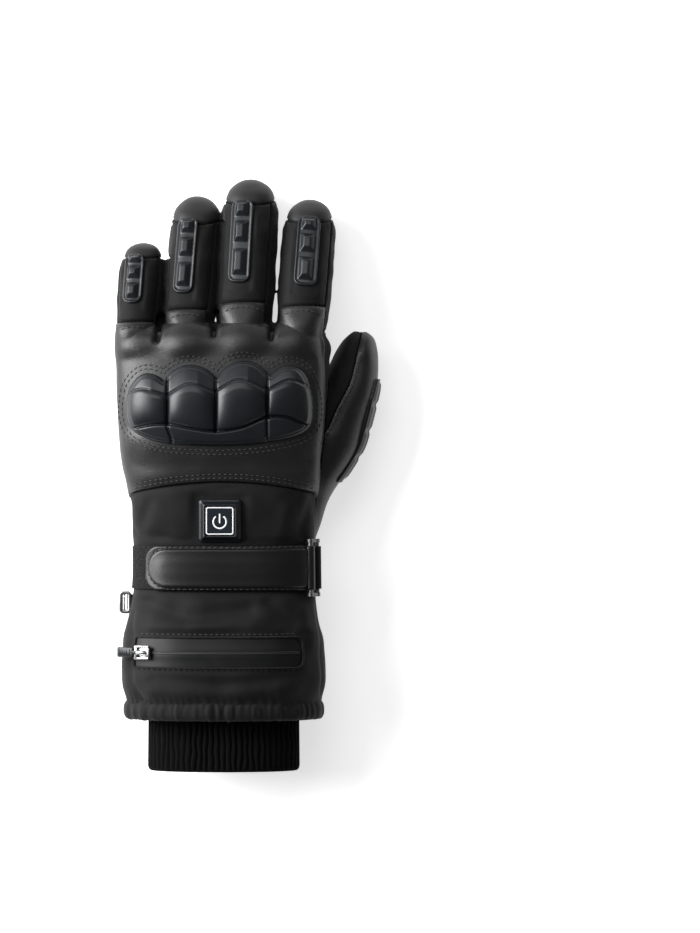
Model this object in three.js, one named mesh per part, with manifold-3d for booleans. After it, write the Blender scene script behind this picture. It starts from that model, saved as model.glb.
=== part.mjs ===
// A left-hand heated winter glove for riding: a padded glove with a gauntlet cuff, moulded guards on the
// knuckles and fingers, a wrist strap, a power button, a zipped battery pocket and a ribbed knit cuff. It lies
// palm down on z = 0, with its fingers towards +Y, its thumb towards +X and the back of the hand up. All lengths
// are in millimetres.
import * as THREE from "three";
import { mergeVertices } from "three/addons/utils/BufferGeometryUtils.js";
import Module from "manifold-3d";

const wasm = await Module();
wasm.setup();

// Driving dimensions
const wall = 3.5; // shell, padding and lining together
const gap = 0.3; // between pieces that are sewn or bonded together
const handWidth = 120; // across the knuckles, outside the padding
const handDepth = 46; // palm to back, outside the padding
const handLength = 125.5; // wrist seam to the finger crotches
const palmLift = 12; // the palm's height above the table at the knuckles
const fingerLength = 87.5; // the middle finger, from the crotches
const gauntletWidth = 111.5;
const gauntletDepth = 62;
const gauntletLength = 78.5; // hem seam to the wrist seam
const hemHeight = 10.5;
const hemBulge = 2.2; // how far the rolled hem stands out past the cuff
const knitReach = 29; // how far the knit cuff stands out past the hem
const knitWidth = 85;
const knitDepth = 45;
const knitWall = 3;
const knitRibs = 22;
const knitRibDepth = 1.1;
const knitSeatGap = 0.4; // where its upper edge is sewn inside the cuff
const thumbLength = 134;
const thumbDepth = 40;
const gatherDepth = 1.3; // height of the pleats at the elastic wrist
const gatherLength = 13; // along the glove
const leatherThickness = 1.2;
const capThickness = 0.9;
const capReach = 6.5; // from the tip to its seam on the palm side
const gripThickness = 0.8;
const guardRim = 1.6; // thickness of the knuckle guard's edge
const guardRise = 8; // height of its domes above the edge
const fingerGuardBase = 1.4;
const gemRise = 2.4; // height of a finger guard's facets above its base
const gemCount = 3;
const sliderThickness = 3;
const buttonSize = 24;
const buttonRise = 5;
const buttonFaceSize = 16.6;
const strapWidth = 25;
const strapThickness = 2;
const strapBackingThickness = 1.5;
const ringBar = 2.6; // diameter of the strap ring's bars
const sleeveWall = 1.2; // cloth round the bars
const anchorThickness = 1.5;
const zipWidth = 15.5;
const zipTapeThickness = 0.8;
const zipCoilWidth = 2.6;
const zipSliderLength = 10;
const zipPullLength = 11;
const zipPullWidth = 5.5;
const zipPullThickness = 1.8;
const clipWidth = 7;
const clipHeight = 13;
const clipThickness = 3.2;
const clipDrop = 8; // below the middle of the cuff's side
const webbingWidth = 9;
const webbingReach = 8; // from inside the cuff's curve out to the hook
const webbingThickness = 2.6;

// Stations along the glove, from the knit cuff's end at y = 0
const hemEndY = knitReach;
const cuffStartY = hemEndY + hemHeight;
const wristY = cuffStartY + gauntletLength;
const crotchY = wristY + handLength;
const backSeamY = wristY + 0.315 * handLength; // where the leather back ends at its sides
const knuckleHeight = palmLift + 0.48 * handDepth; // centre of the finger roots

// Sections of the cuff and hand. along is a share of the run's length, wide of its width, lift of palmLift and
// deep of its depth; square is the exponent of the rounded section.
const bodyTable = [
  { run: "cuff", along: 0, wide: 0.965, lift: 0, deep: 0.965, square: 2.3 },
  { run: "cuff", along: 0.09, wide: 1, lift: 0, deep: 1, square: 2.3 },
  { run: "cuff", along: 0.26, wide: 1, lift: 0, deep: 1, square: 2.35 },
  { run: "cuff", along: 0.43, wide: 0.98, lift: 0, deep: 0.965, square: 2.4 },
  { run: "cuff", along: 0.6, wide: 0.936, lift: 0.12, deep: 0.89, square: 2.4 },
  { run: "cuff", along: 0.77, wide: 0.895, lift: 0.3, deep: 0.81, square: 2.45 },
  { run: "hand", along: 0, wide: 0.82, lift: 0.42, deep: 1.02, square: 2.5 },
  { run: "hand", along: 0.2, wide: 0.846, lift: 0.52, deep: 1.02, square: 2.6 },
  { run: "hand", along: 0.3, wide: 0.873, lift: 0.6, deep: 1.03, square: 2.6 },
  { run: "hand", along: 0.41, wide: 0.915, lift: 0.7, deep: 1.05, square: 2.6 },
  { run: "hand", along: 0.55, wide: 0.94, lift: 0.85, deep: 1.06, square: 2.6 },
  { run: "hand", along: 0.75, wide: 0.962, lift: 1, deep: 1, square: 2.6 },
  { run: "hand", along: 0.88, wide: 0.972, lift: 1.12, deep: 0.9, square: 2.6 },
  { run: "hand", along: 1, wide: 0.945, lift: 1.5, deep: 0.73, square: 2.5 },
  { run: "hand", along: 1.03, wide: 0.9, lift: 1.8, deep: 0.57, square: 2.4 },
  { run: "hand", along: 1.05, wide: 0.83, lift: 2.2, deep: 0.33, square: 2.3 },
];

// Fingers. root, lean and width are shares of handWidth: where the finger starts, how far it leans towards the
// thumb and how wide it is. length is a share of fingerLength, depth of handDepth, and drop, how far the tip
// hangs below the root, of knuckleHeight. roll turns its guard in degrees away from the thumb. leather, cap,
// guardFrom and guardTo are shares of its own length: where the back panel ends, where the tip cap starts and
// where the guard lies. guardWidth is a share of its width.
const fingerTable = [
  {
    name: "little", root: -0.398, lean: 0.024, width: 0.2167, length: 0.5829, depth: 0.5435, drop: 0.4988, roll: 15,
    leather: 0.1275, cap: 0.8529, guardFrom: 0.2647, guardTo: 0.8039, guardWidth: 0.404,
  },
  {
    name: "ring", root: -0.167, lean: 0.045, width: 0.2383, length: 0.8914, depth: 0.587, drop: 0.7189, roll: 14,
    leather: 0.1731, cap: 0.8013, guardFrom: 0.2436, guardTo: 0.7821, guardWidth: 0.378,
  },
  {
    name: "middle", root: 0.094, lean: 0.033, width: 0.26, length: 1, depth: 0.6196, drop: 0.7365, roll: 12,
    leather: 0.2, cap: 0.84, guardFrom: 0.2857, guardTo: 0.8171, guardWidth: 0.378,
  },
  {
    name: "index", root: 0.362, lean: 0.045, width: 0.2417, length: 0.8686, depth: 0.587, drop: 0.7189, roll: 0,
    leather: 0.2039, cap: 0.8355, guardFrom: 0.3026, guardTo: 0.8158, guardWidth: 0.428,
  },
].map((row) => {
  const length = row.length * fingerLength;
  const width = row.width * handWidth;
  return {
    ...row,
    length,
    width,
    depth: row.depth * handDepth,
    drop: row.drop * knuckleHeight,
    leather: row.leather * length,
    cap: row.cap * length,
    guardFrom: row.guardFrom * length,
    guardTo: row.guardTo * length,
    guardWidth: row.guardWidth * width,
  };
});
const rootDepth = 20; // how far a finger's tube reaches into the hand before it is cut to its seam
const rootTaper = 0.1; // and how much it narrows on the way
const domeShare = 0.64; // length of a fingertip's dome as a share of its width

// Thumb sections, cut across y. along is a share of thumbLength, centre and half of handWidth, low and high
// of thumbDepth.
const thumbTable = [
  { along: 0, centre: 0.225, half: 0.117, low: 0.25, high: 0.7 },
  { along: 0.05, centre: 0.233, half: 0.15, low: 0.17, high: 0.8 },
  { along: 0.165, centre: 0.258, half: 0.175, low: 0.07, high: 0.9 },
  { along: 0.305, centre: 0.292, half: 0.192, low: 0, high: 0.97 },
  { along: 0.42, centre: 0.354, half: 0.219, low: 0, high: 1 },
  { along: 0.515, centre: 0.412, half: 0.221, low: 0, high: 1 },
  { along: 0.58, centre: 0.467, half: 0.188, low: 0, high: 0.98 },
  { along: 0.68, centre: 0.521, half: 0.163, low: 0, high: 0.93 },
  { along: 0.77, centre: 0.575, half: 0.13, low: 0.02, high: 0.86 },
  { along: 0.86, centre: 0.605, half: 0.103, low: 0.05, high: 0.78 },
  { along: 0.925, centre: 0.621, half: 0.081, low: 0.11, high: 0.71 },
  { along: 0.97, centre: 0.634, half: 0.052, low: 0.2, high: 0.6 },
  { along: 0.995, centre: 0.64, half: 0.02, low: 0.31, high: 0.49 },
];
const thumbStartY = wristY - 0.045 * handLength;
const thumbHollowFrom = 0.28; // share of thumbLength where its hollow starts

const bodyFlat = 0.46; // a middling section's depth over its width, for spacing its corners
const bodySquare = 2.45;
const bodySides = 32;
const fingerSides = 12;
const thumbSides = 14;
const hollowSides = 24;

const { lerp, clamp, degToRad, smoothstep } = THREE.MathUtils;

// Turns a closed geometry into a solid, with its faces pointing out.
function toSolid(geometry) {
  const bare = new THREE.BufferGeometry().setAttribute("position", geometry.getAttribute("position"));
  if (geometry.index) bare.setIndex(geometry.index);
  const merged = mergeVertices(bare, 1e-4);
  return new wasm.Manifold(
    new wasm.Mesh({
      numProp: 3,
      vertProperties: merged.attributes.position.array,
      triVerts: new Uint32Array(merged.index.array),
    }),
  );
}

function toGeometry(solid) {
  const { numProp, numVert, vertProperties, triVerts } = solid.getMesh();
  const positions = new Float32Array(numVert * 3);
  for (let i = 0; i < numVert; i++) {
    positions.set(vertProperties.subarray(i * numProp, i * numProp + 3), i * 3);
  }
  return new THREE.BufferGeometry()
    .setAttribute("position", new THREE.BufferAttribute(positions, 3))
    .setIndex(new THREE.BufferAttribute(triVerts, 1));
}

// Joins rings of points, all with the same count, into one closed solid. loop joins the last ring to the
// first.
function loft(rings, loop = false) {
  const count = rings[0].length;
  const points = rings.flat();
  const faces = [];
  const bands = loop ? rings.length : rings.length - 1;
  for (let i = 0; i < bands; i++) {
    const here = i * count;
    const there = ((i + 1) % rings.length) * count;
    for (let k = 0; k < count; k++) {
      const next = (k + 1) % count;
      faces.push(here + k, here + next, there + next, here + k, there + next, there + k);
    }
  }
  if (!loop) {
    const ends = [
      { ring: rings[0], first: 0, flip: true },
      { ring: rings.at(-1), first: (rings.length - 1) * count, flip: false },
    ];
    for (const { ring, first, flip } of ends) {
      const centre = ring.reduce((sum, p) => sum.add(p), new THREE.Vector3()).divideScalar(count);
      points.push(centre);
      for (let k = 0; k < count; k++) {
        const [a, b] = [first + k, first + ((k + 1) % count)];
        faces.push(...(flip ? [b, a, points.length - 1] : [a, b, points.length - 1]));
      }
    }
  }
  let volume = 0;
  for (let i = 0; i < faces.length; i += 3) {
    const [a, b, c] = [points[faces[i]], points[faces[i + 1]], points[faces[i + 2]]];
    volume += a.dot(new THREE.Vector3().crossVectors(b, c));
  }
  if (volume < 0) {
    for (let i = 0; i < faces.length; i += 3) [faces[i + 1], faces[i + 2]] = [faces[i + 2], faces[i + 1]];
  }
  const geometry = new THREE.BufferGeometry().setFromPoints(points);
  geometry.setIndex(faces);
  return toSolid(geometry);
}

// Points at even distances round a rounded section of half sizes 1 and flat, as turns from +x towards +z.
function evenTurns(sides, flat, square) {
  const fine = 1440;
  const lengths = [0];
  const at = (i) => {
    const turn = (2 * Math.PI * i) / fine;
    return [roundCos(turn, square), flat * roundSin(turn, square)];
  };
  for (let i = 1; i <= fine; i++) {
    const [x0, z0] = at(i - 1);
    const [x1, z1] = at(i);
    lengths.push(lengths[i - 1] + Math.hypot(x1 - x0, z1 - z0));
  }
  const turns = [];
  let i = 0;
  for (let k = 0; k < sides; k++) {
    while (lengths[i] < (k / sides) * lengths[fine]) i++;
    turns.push((2 * Math.PI * i) / fine);
  }
  return turns;
}

function roundCos(turn, square) {
  return Math.sign(Math.cos(turn)) * Math.abs(Math.cos(turn)) ** (2 / square);
}

function roundSin(turn, square) {
  return Math.sign(Math.sin(turn)) * Math.abs(Math.sin(turn)) ** (2 / square);
}

// The cuff and hand, as one run of sections
const bodySections = bodyTable.map((row) => {
  const cuff = row.run === "cuff";
  const deep = row.deep * (cuff ? gauntletDepth : handDepth);
  return {
    y: cuff ? cuffStartY + row.along * gauntletLength : wristY + row.along * handLength,
    half: (row.wide * (cuff ? gauntletWidth : handWidth)) / 2,
    mid: row.lift * palmLift + deep / 2,
    deep: deep / 2 + (cuff ? cuffPress(row.lift) : 0),
    square: row.square,
  };
});

// The part of the cuff's round section that its weight presses flat on the table.
function cuffPress(lift) {
  return 1.6 * Math.max(0, 1 - lift / 0.2);
}

function sectionAt(y) {
  const rows = bodySections;
  const i = clamp(rows.findIndex((row) => row.y >= y), 1, rows.length - 1);
  const [low, high] = [rows[i - 1], rows[i]];
  const share = clamp((y - low.y) / (high.y - low.y), 0, 1);
  const between = (key) => lerp(low[key], high[key], share);
  return { half: between("half"), mid: between("mid"), deep: between("deep"), square: between("square") };
}

// How strongly the elastic wrist pleats the palm side here, from 0 to 1
function gatherAt(y, x, below) {
  const start = smoothstep(y, wristY - 2 * gatherLength, wristY - gatherLength);
  const end = smoothstep(y, wristY - 0.45 * gatherLength, wristY + 0.1 * gatherLength);
  const alongCuff = start * (1 - end);
  const across = smoothstep(x, -0.3 * handWidth, -0.12 * handWidth);
  return below ? alongCuff * across : 0;
}

// A point of the glove's body, offset outwards; pleat is 1 on a pleat's crest and -1 in its valley.
function bodyPoint(y, turn, offset = 0, pleat = 0) {
  const section = sectionAt(y);
  const x = roundCos(turn, section.square) * (section.half + offset);
  const raise = roundSin(turn, section.square);
  const gathered = gatherDepth * pleat * gatherAt(y, x, raise < -0.2);
  const z = section.mid + raise * (section.deep + offset + gathered);
  return new THREE.Vector3(x, y, Math.max(z, -offset));
}

// Height of the body's back above the table at x, y
function backHeight(x, y, offset = 0) {
  const section = sectionAt(y);
  const share = Math.min(Math.abs(x) / (section.half + offset), 0.999);
  return section.mid + (section.deep + offset) * (1 - share ** section.square) ** (1 / section.square);
}

// The turn at which the body's back or palm has this x
function turnAt(x, y, offset = 0, palm = false) {
  const section = sectionAt(y);
  const share = clamp(x / (section.half + offset), -1, 1);
  const turn = Math.acos(Math.sign(share) * Math.abs(share) ** (section.square / 2));
  return palm ? -turn : turn;
}

// The body as one loft. A negative offset gives its hollow, with about half the sections.
function bodyLoft(offset, { sides = bodySides, pleated = false, from = cuffStartY, to = Infinity } = {}) {
  const turns = evenTurns(sides, bodyFlat, bodySquare);
  const inside = offset < 0;
  const rows = bodySections.filter((row, i) => !inside || i % 2 === 0 || row.y > crotchY - rootDepth);
  const stations = [from, ...rows.map((row) => row.y).filter((y) => y > from && y < to)];
  if (pleated) stations.push(wristY - 1.2 * gatherLength, wristY - 0.27 * gatherLength);
  if (to < Infinity) stations.push(to);
  stations.sort((a, b) => a - b);
  const rings = stations.map((y) =>
    turns.map((turn, k) => bodyPoint(y, turn, offset, pleated ? (k % 2 ? -1 : 1) : 0)),
  );
  rings.at(-1).forEach((point) => point.setY(point.y + Math.max(offset, 0)));
  return loft(rings);
}

// Fingers: a tube of rounded sections along a line that leans and hangs towards its tip
function fingerCentre(finger, y) {
  const share = Math.max((y - crotchY) / finger.length, 0);
  return new THREE.Vector3(
    (finger.root + finger.lean * Math.min(share, 1)) * handWidth,
    y,
    knuckleHeight - finger.drop * share ** 1.3,
  );
}

function fingerFrame(finger, y) {
  const centre = fingerCentre(finger, y);
  const ahead = fingerCentre(finger, y + 0.5).sub(fingerCentre(finger, y - 0.5)).normalize();
  const right = new THREE.Vector3().crossVectors(ahead, new THREE.Vector3(0, 0, 1)).normalize();
  const up = new THREE.Vector3().crossVectors(right, ahead);
  return { centre, ahead, right, up };
}

// How full the finger is at y: 1 along its length, falling to 0 at the tip of its dome
function fingerFullness(finger, y, offset) {
  const dome = domeShare * finger.width + offset;
  const left = clamp((crotchY + finger.length + offset - y) / dome, 0, 1);
  const buried = clamp((crotchY - y) / rootDepth, 0, 1);
  return Math.sqrt(1 - (1 - left) ** 2) * (1 - rootTaper * buried);
}

function fingerRing(finger, y, offset, turns, full = fingerFullness(finger, y, offset)) {
  const { centre, right, up } = fingerFrame(finger, y);
  return turns.map((turn) => {
    const point = centre
      .clone()
      .addScaledVector(right, full * (finger.width / 2 + offset) * roundCos(turn, 2.25))
      .addScaledVector(up, full * (finger.depth / 2 + offset) * roundSin(turn, 2.25));
    point.z = Math.max(point.z, -offset);
    return point;
  });
}

function fingerLoft(finger, offset) {
  const inside = offset < 0;
  const turns = evenTurns(inside ? fingerSides - 2 : fingerSides, finger.depth / finger.width, 2.25);
  const tipY = crotchY + finger.length + offset;
  const dome = domeShare * finger.width + offset;
  const straight = inside ? [0, 0.5, 1] : [0, 0.25, 0.5, 0.75, 1];
  const round = inside ? [0.55, 0.2, 0.02] : [0.7, 0.45, 0.22, 0.07, 0.008];
  const ys = [
    crotchY - rootDepth,
    ...straight.map((share) => lerp(crotchY, tipY - dome, share)),
    ...round.map((share) => tipY - dome * share),
  ];
  return loft(ys.map((y) => fingerRing(finger, y, offset, turns)));
}

// Thumb: sections cut across y
function thumbPoint(row, turn, offset) {
  const half = Math.max(row.half * handWidth + offset, 0.4);
  const deep = Math.max(((row.high - row.low) * thumbDepth) / 2 + offset, 0.4);
  const mid = ((row.high + row.low) * thumbDepth) / 2;
  const end = row.along > 0.9 ? offset * ((row.along - 0.9) / 0.1) : 0;
  return new THREE.Vector3(
    row.centre * handWidth + half * roundCos(turn, 2.2),
    thumbStartY + row.along * thumbLength + end,
    Math.max(mid + deep * roundSin(turn, 2.2), -offset),
  );
}

function thumbRow(along) {
  const i = clamp(thumbTable.findIndex((row) => row.along >= along), 1, thumbTable.length - 1);
  const [low, high] = [thumbTable[i - 1], thumbTable[i]];
  const share = (along - low.along) / (high.along - low.along);
  const mixed = (key) => lerp(low[key], high[key], share);
  return { along, centre: mixed("centre"), half: mixed("half"), low: mixed("low"), high: mixed("high") };
}

function thumbLoft(offset, from = 0) {
  const inside = offset < 0;
  const turns = evenTurns(inside ? thumbSides - 4 : thumbSides, 0.75, 2.2);
  const within = thumbTable.filter((row) => row.along > from && !(inside && row.along > 0.96));
  const rows = [thumbRow(from), ...within.filter((row, i) => !inside || i % 2 === 1)];
  return loft(rows.map((row) => turns.map((turn) => thumbPoint(row, turn, offset))));
}

// A prism whose outline is drawn on the table, from height low to height high
function prism(outline, low, high) {
  const shape = new THREE.Shape(outline.map(([x, y]) => new THREE.Vector2(x, y)));
  const geometry = new THREE.ExtrudeGeometry(shape, { depth: high - low, bevelEnabled: false });
  return toSolid(geometry.translate(0, 0, low));
}

function box(size, centre) {
  return toSolid(new THREE.BoxGeometry(...size).translate(...centre));
}

// The turns of the body's own corners between two turns, with the two themselves
function turnsBetween(from, to) {
  const corners = evenTurns(bodySides, bodyFlat, bodySquare).flatMap((turn) => [turn, turn - 2 * Math.PI]);
  const between = corners.filter((turn) => (turn - from) * (turn - to) < 0 && Math.abs(turn - to) > 0.02);
  return [from, ...between.sort((a, b) => (to > from ? a - b : b - a)), to];
}

// A band that follows the body from turn to turn, between two offsets. narrow(turn) scales its width.
function band({ from, to, centre, width, low, high, narrow = () => 1 }) {
  const edges = [centre - width / 2, centre + width / 2];
  const stations = bodySections.map((row) => row.y).filter((y) => y > edges[0] + 1 && y < edges[1] - 1);
  const ys = [edges[0], ...stations, edges[1]];
  const rings = turnsBetween(from, to).map((turn) => {
    const at = (y, offset) => bodyPoint(centre + (y - centre) * narrow(turn), turn, offset);
    return [...ys.map((y) => at(y, low)), ...[...ys].reverse().map((y) => at(y, high))];
  });
  return loft(rings);
}

// Outer bodies, the same grown by the gap, and the hollows
const bodyOuter = bodyLoft(0, { pleated: true });
const bodyClear = bodyLoft(gap, { pleated: true });
const thumbOuter = thumbLoft(0);
const thumbHollow = thumbLoft(-wall, thumbHollowFrom);
const fingerOuters = fingerTable.map((finger) => fingerLoft(finger, 0));
const fingerHollows = fingerTable.map((finger) => fingerLoft(finger, -wall));

// The hollow runs out through the cuff's end, and stops a wall short of the finger roots.
const bodyHollow = bodyLoft(-wall, {
  sides: hollowSides,
  from: cuffStartY - 1,
  to: crotchY + 1,
});

function joined(solids) {
  return solids.reduce((sum, solid) => sum.add(solid));
}

const group = new THREE.Group();

function addPiece(name, solid, color, roughness, metalness = 0) {
  const material = new THREE.MeshStandardMaterial({ color, roughness, metalness });
  const mesh = new THREE.Mesh(toGeometry(solid), material);
  mesh.name = name;
  group.add(mesh);
  return mesh;
}

const cloth = [0x232325, 0.85];
const leather = [0x2a2a2d, 0.5];
const rubber = [0x1e2124, 0.55];
const metal = [0xb9bcc0, 0.3, 1];

// Body: split into hand and cuff along the slanting wrist seam, higher on the back than on the palm
const seamBackZ = backHeight(0, backSeamY);
const seamNormal = new THREE.Vector3(0, seamBackZ, -(backSeamY - wristY)).normalize();
const seamAt = seamNormal.dot(new THREE.Vector3(0, wristY, 0));
const bodyShell = bodyOuter.subtract(bodyHollow).subtract(joined(fingerHollows)).subtract(thumbHollow);
const handBody = bodyShell.trimByPlane(seamNormal.toArray(), seamAt + gap / 2);
const gauntlet = bodyShell.trimByPlane(seamNormal.clone().negate().toArray(), -seamAt + gap / 2);
addPiece("hand_body", handBody, ...cloth);
addPiece("gauntlet", gauntlet, ...cloth);

// Finger stalls and thumb, cut to the seam round their roots
fingerTable.forEach((finger, i) => {
  const stall = fingerOuters[i].subtract(fingerHollows[i]).subtract(bodyClear);
  addPiece("finger_" + finger.name, stall, ...cloth);
});
addPiece("thumb_stall", thumbOuter.subtract(thumbHollow).subtract(bodyClear), ...leather);

// Rolled hem round the cuff's end
const hemRingSteps = 5;
const hemTurns = evenTurns(bodySides, bodyFlat, bodySquare);
const hemRings = [];
for (let i = 0; i < hemRingSteps; i++) {
  const roll = (2 * Math.PI * i) / hemRingSteps;
  const y = hemEndY + hemHeight / 2 - gap / 2 + ((hemHeight - gap) / 2) * Math.cos(roll);
  const out = (hemBulge - wall) / 2 + ((hemBulge + wall) / 2) * Math.sin(roll);
  hemRings.push(
    hemTurns.map((turn) => {
      const point = bodyPoint(bodySections[0].y, turn, out);
      return point.set(point.x, y, Math.max(point.z, 0));
    }),
  );
}
addPiece("hem_roll", loft(hemRings, true), ...cloth);

// Ribbed knit cuff: from its open end it runs inside the cuff, where its upper edge flares to meet the wall
const knitMid = gauntletDepth * 0.45;
const knitTable = [
  { along: 0, grow: -1.6, ribs: 0.3 },
  { along: 0.03, grow: 0, ribs: 1 },
  { along: 0.6, grow: -0.5, ribs: 1 },
  { along: 1, grow: 0, ribs: 0 },
];
const knitLength = cuffStartY + 0.6 * gauntletLength; // at one of the hollow's own sections
const knitTurns = evenTurns(2 * knitRibs, knitDepth / knitWidth, 2.3);
function knitRing(row, inside) {
  return knitTurns.map((turn, k) => {
    const rib = inside ? 0 : (k % 2 ? -1 : 0) * knitRibDepth * row.ribs;
    const grow = row.grow + rib - (inside ? knitWall : 0);
    return new THREE.Vector3(
      (knitWidth / 2 + grow) * roundCos(turn, 2.3),
      row.along * knitLength,
      knitMid + (knitDepth / 2 + grow) * roundSin(turn, 2.3),
    );
  });
}

// The seat follows the flat facets between the corners of the cuff's hollow.
const hollowCorners = evenTurns(hollowSides, bodyFlat, bodySquare);
function knitSeat(inside) {
  const offset = -wall - knitSeatGap - (inside ? knitWall : 0);
  return knitTurns.map((turn) => {
    const from = hollowCorners.findLast((corner) => corner <= turn);
    const to = hollowCorners.find((corner) => corner > turn) ?? 2 * Math.PI;
    const facet = bodyPoint(knitLength, from, offset);
    return facet.lerp(bodyPoint(knitLength, to, offset), (turn - from) / (to - from));
  });
}
const knitStraight = knitTable.slice(0, -1);
const knitOuter = [...knitStraight.map((row) => knitRing(row, false)), knitSeat(false)];
const knitInner = [...knitStraight.map((row) => knitRing(row, true)), knitSeat(true)];
addPiece("knit_cuff", loft([...knitOuter, ...knitInner.reverse()], true), 0x161617, 0.95);

// Leather back panel, over the back of the hand and the finger roots
function grown(offset) {
  return joined([bodyLoft(offset), ...fingerTable.map((finger) => fingerLoft(finger, offset))]);
}
const sideZ = palmLift + 0.46 * handDepth;
const seamArc = [-0.5, -0.25, 0, 0.25, 0.5].map((share) => [
  share * 1.1 * handWidth,
  backSeamY + 0.036 * handLength * (1 - (2 * share) ** 2),
]);
const leatherTop = [];
[...fingerTable].reverse().forEach((finger, i) => {
  const reach = crotchY + finger.leather;
  const next = [...fingerTable].reverse()[i + 1];
  const left = next ? ((finger.root + next.root) / 2) * handWidth : -0.6 * handWidth;
  const right = leatherTop.length ? leatherTop.at(-1)[0] - 0.001 : 0.6 * handWidth;
  leatherTop.push([right, reach], [left, reach]);
});
const leatherRegion = prism([...seamArc, ...leatherTop], sideZ, sideZ + 2 * handDepth);
const leatherOuter = grown(gap + leatherThickness);
const thumbClear = thumbLoft(gap);
const backPanel = leatherOuter.subtract(grown(gap)).intersect(leatherRegion).subtract(thumbClear);
addPiece("back_panel", backPanel, ...leather);

// Knuckle guard: four domes over a lower band, bonded on the leather. x is a share of handWidth, top and bottom
// are shares of handLength from crotchY, high is the share of guardRise.
const guardTable = [
  { x: -0.44, top: -0.263, bottom: -0.382, high: 0 },
  { x: -0.415, top: -0.199, bottom: -0.43, high: 0.5 },
  { x: -0.35, top: -0.171, bottom: -0.466, high: 0.85 },
  { x: -0.29, top: -0.179, bottom: -0.482, high: 0.75 },
  { x: -0.252, top: -0.199, bottom: -0.49, high: 0.35 },
  { x: -0.21, top: -0.147, bottom: -0.494, high: 0.8 },
  { x: -0.145, top: -0.131, bottom: -0.498, high: 1 },
  { x: -0.07, top: -0.159, bottom: -0.498, high: 0.8 },
  { x: -0.028, top: -0.191, bottom: -0.498, high: 0.35 },
  { x: 0.01, top: -0.143, bottom: -0.498, high: 0.85 },
  { x: 0.09, top: -0.112, bottom: -0.494, high: 1 },
  { x: 0.165, top: -0.143, bottom: -0.49, high: 0.8 },
  { x: 0.208, top: -0.183, bottom: -0.486, high: 0.35 },
  { x: 0.25, top: -0.147, bottom: -0.478, high: 0.75 },
  { x: 0.315, top: -0.135, bottom: -0.462, high: 0.85 },
  { x: 0.375, top: -0.171, bottom: -0.434, high: 0.5 },
  { x: 0.41, top: -0.239, bottom: -0.382, high: 0 },
];
// Across the guard from its lower edge to its upper one: band is the lower band's height and dome the domes'
// share.
const guardProfile = [
  { along: 0, band: 0, dome: 0 },
  { along: 0.07, band: 0.22, dome: 0 },
  { along: 0.27, band: 0.45, dome: 0.1 },
  { along: 0.31, band: 0.2, dome: 0.15 },
  { along: 0.4, band: 0.25, dome: 0.6 },
  { along: 0.55, band: 0.2, dome: 0.8 },
  { along: 0.7, band: 0.1, dome: 0.78 },
  { along: 0.77, band: 0.05, dome: 0.52 },
  { along: 0.82, band: 0.05, dome: 0.58 },
  { along: 1, band: 0, dome: 0.05 },
];
const guardSeat = gap + leatherThickness + gap;
function guardPoint(column, row, sunk) {
  const x = column.x * handWidth;
  const y = crotchY + handLength * lerp(column.bottom, column.top, row.along);
  const rise = guardRim + guardRise * (row.band * Math.sqrt(column.high) + row.dome * column.high);
  const base = backHeight(x, y, guardSeat);
  return new THREE.Vector3(x, y, sunk ? base - guardRise : base + rise);
}
const guardRings = guardTable.map((column) => [
  ...guardProfile.map((row) => guardPoint(column, row, false)),
  ...[...guardProfile].reverse().map((row) => guardPoint(column, row, true)),
]);
addPiece("knuckle_guard", loft(guardRings).subtract(bodyLoft(guardSeat)), ...rubber);

// Finger guards: a strip with three faceted gems along each finger's back
const gemStations = [[0.1, 0.1], [0.34, 1], [0.72, 1]]; // share of a gem's length, share of its rise
const guardSection = [
  { side: 1, base: 0.6, crest: 0 },
  { side: 0.62, base: 1, crest: 0.1 },
  { side: 0.12, base: 1, crest: 1 },
  { side: -0.62, base: 1, crest: 0.1 },
  { side: -1, base: 0.6, crest: 0 },
];
function fingerGuard(finger) {
  const length = finger.guardTo - finger.guardFrom;
  const gem = (length - 3) / gemCount;
  const stations = [{ at: 0, rise: 0, half: 0.6 }];
  for (let i = 0; i < gemCount; i++) {
    for (const [share, rise] of gemStations) stations.push({ at: 1.5 + (i + share) * gem, rise, half: 1 });
  }
  stations.push({ at: length - 1.5, rise: 0, half: 1 }, { at: length, rise: 0, half: 0.6 });
  const spread = Math.asin((finger.guardWidth / finger.width) ** (2.25 / 2));
  const rings = stations.map(({ at, rise, half }) => {
    const y = crotchY + finger.guardFrom + at;
    const place = (side, offset) => {
      const turn = Math.PI / 2 + degToRad(finger.roll) - side * half * spread;
      return fingerRing(finger, y, offset, [turn], fingerFullness(finger, y, 0))[0];
    };
    return [
      ...[-1, 0, 1].map((side) => place(side, gap)),
      ...guardSection.map(({ side, base, crest }) =>
        place(side, gap + fingerGuardBase * base + gemRise * rise * crest),
      ),
    ];
  });
  return loft(rings);
}

// Tip caps: a thin skin over the fingertip, reaching further down the finger's back than its palm side
function tipCap(finger) {
  const turns = evenTurns(fingerSides, finger.depth / finger.width, 2.25);
  const seamY = (turn) => crotchY + lerp(finger.length - capReach, finger.cap, 0.5 + 0.5 * Math.sin(turn));
  const rings = (offset) => {
    const tipY = crotchY + finger.length + offset;
    return [0, 0.5, 0.82, 0.99].map((share) =>
      turns.map((turn) => fingerRing(finger, lerp(seamY(turn), tipY, share), offset, [turn])[0]),
    );
  };
  return loft([...rings(1.5 * gap).reverse(), ...rings(1.5 * gap + capThickness)]);
}
fingerTable.forEach((finger) => {
  addPiece("tip_cap_" + finger.name, tipCap(finger), 0x303033, 0.7);
  addPiece("finger_guard_" + finger.name, fingerGuard(finger), ...rubber);
});

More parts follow.
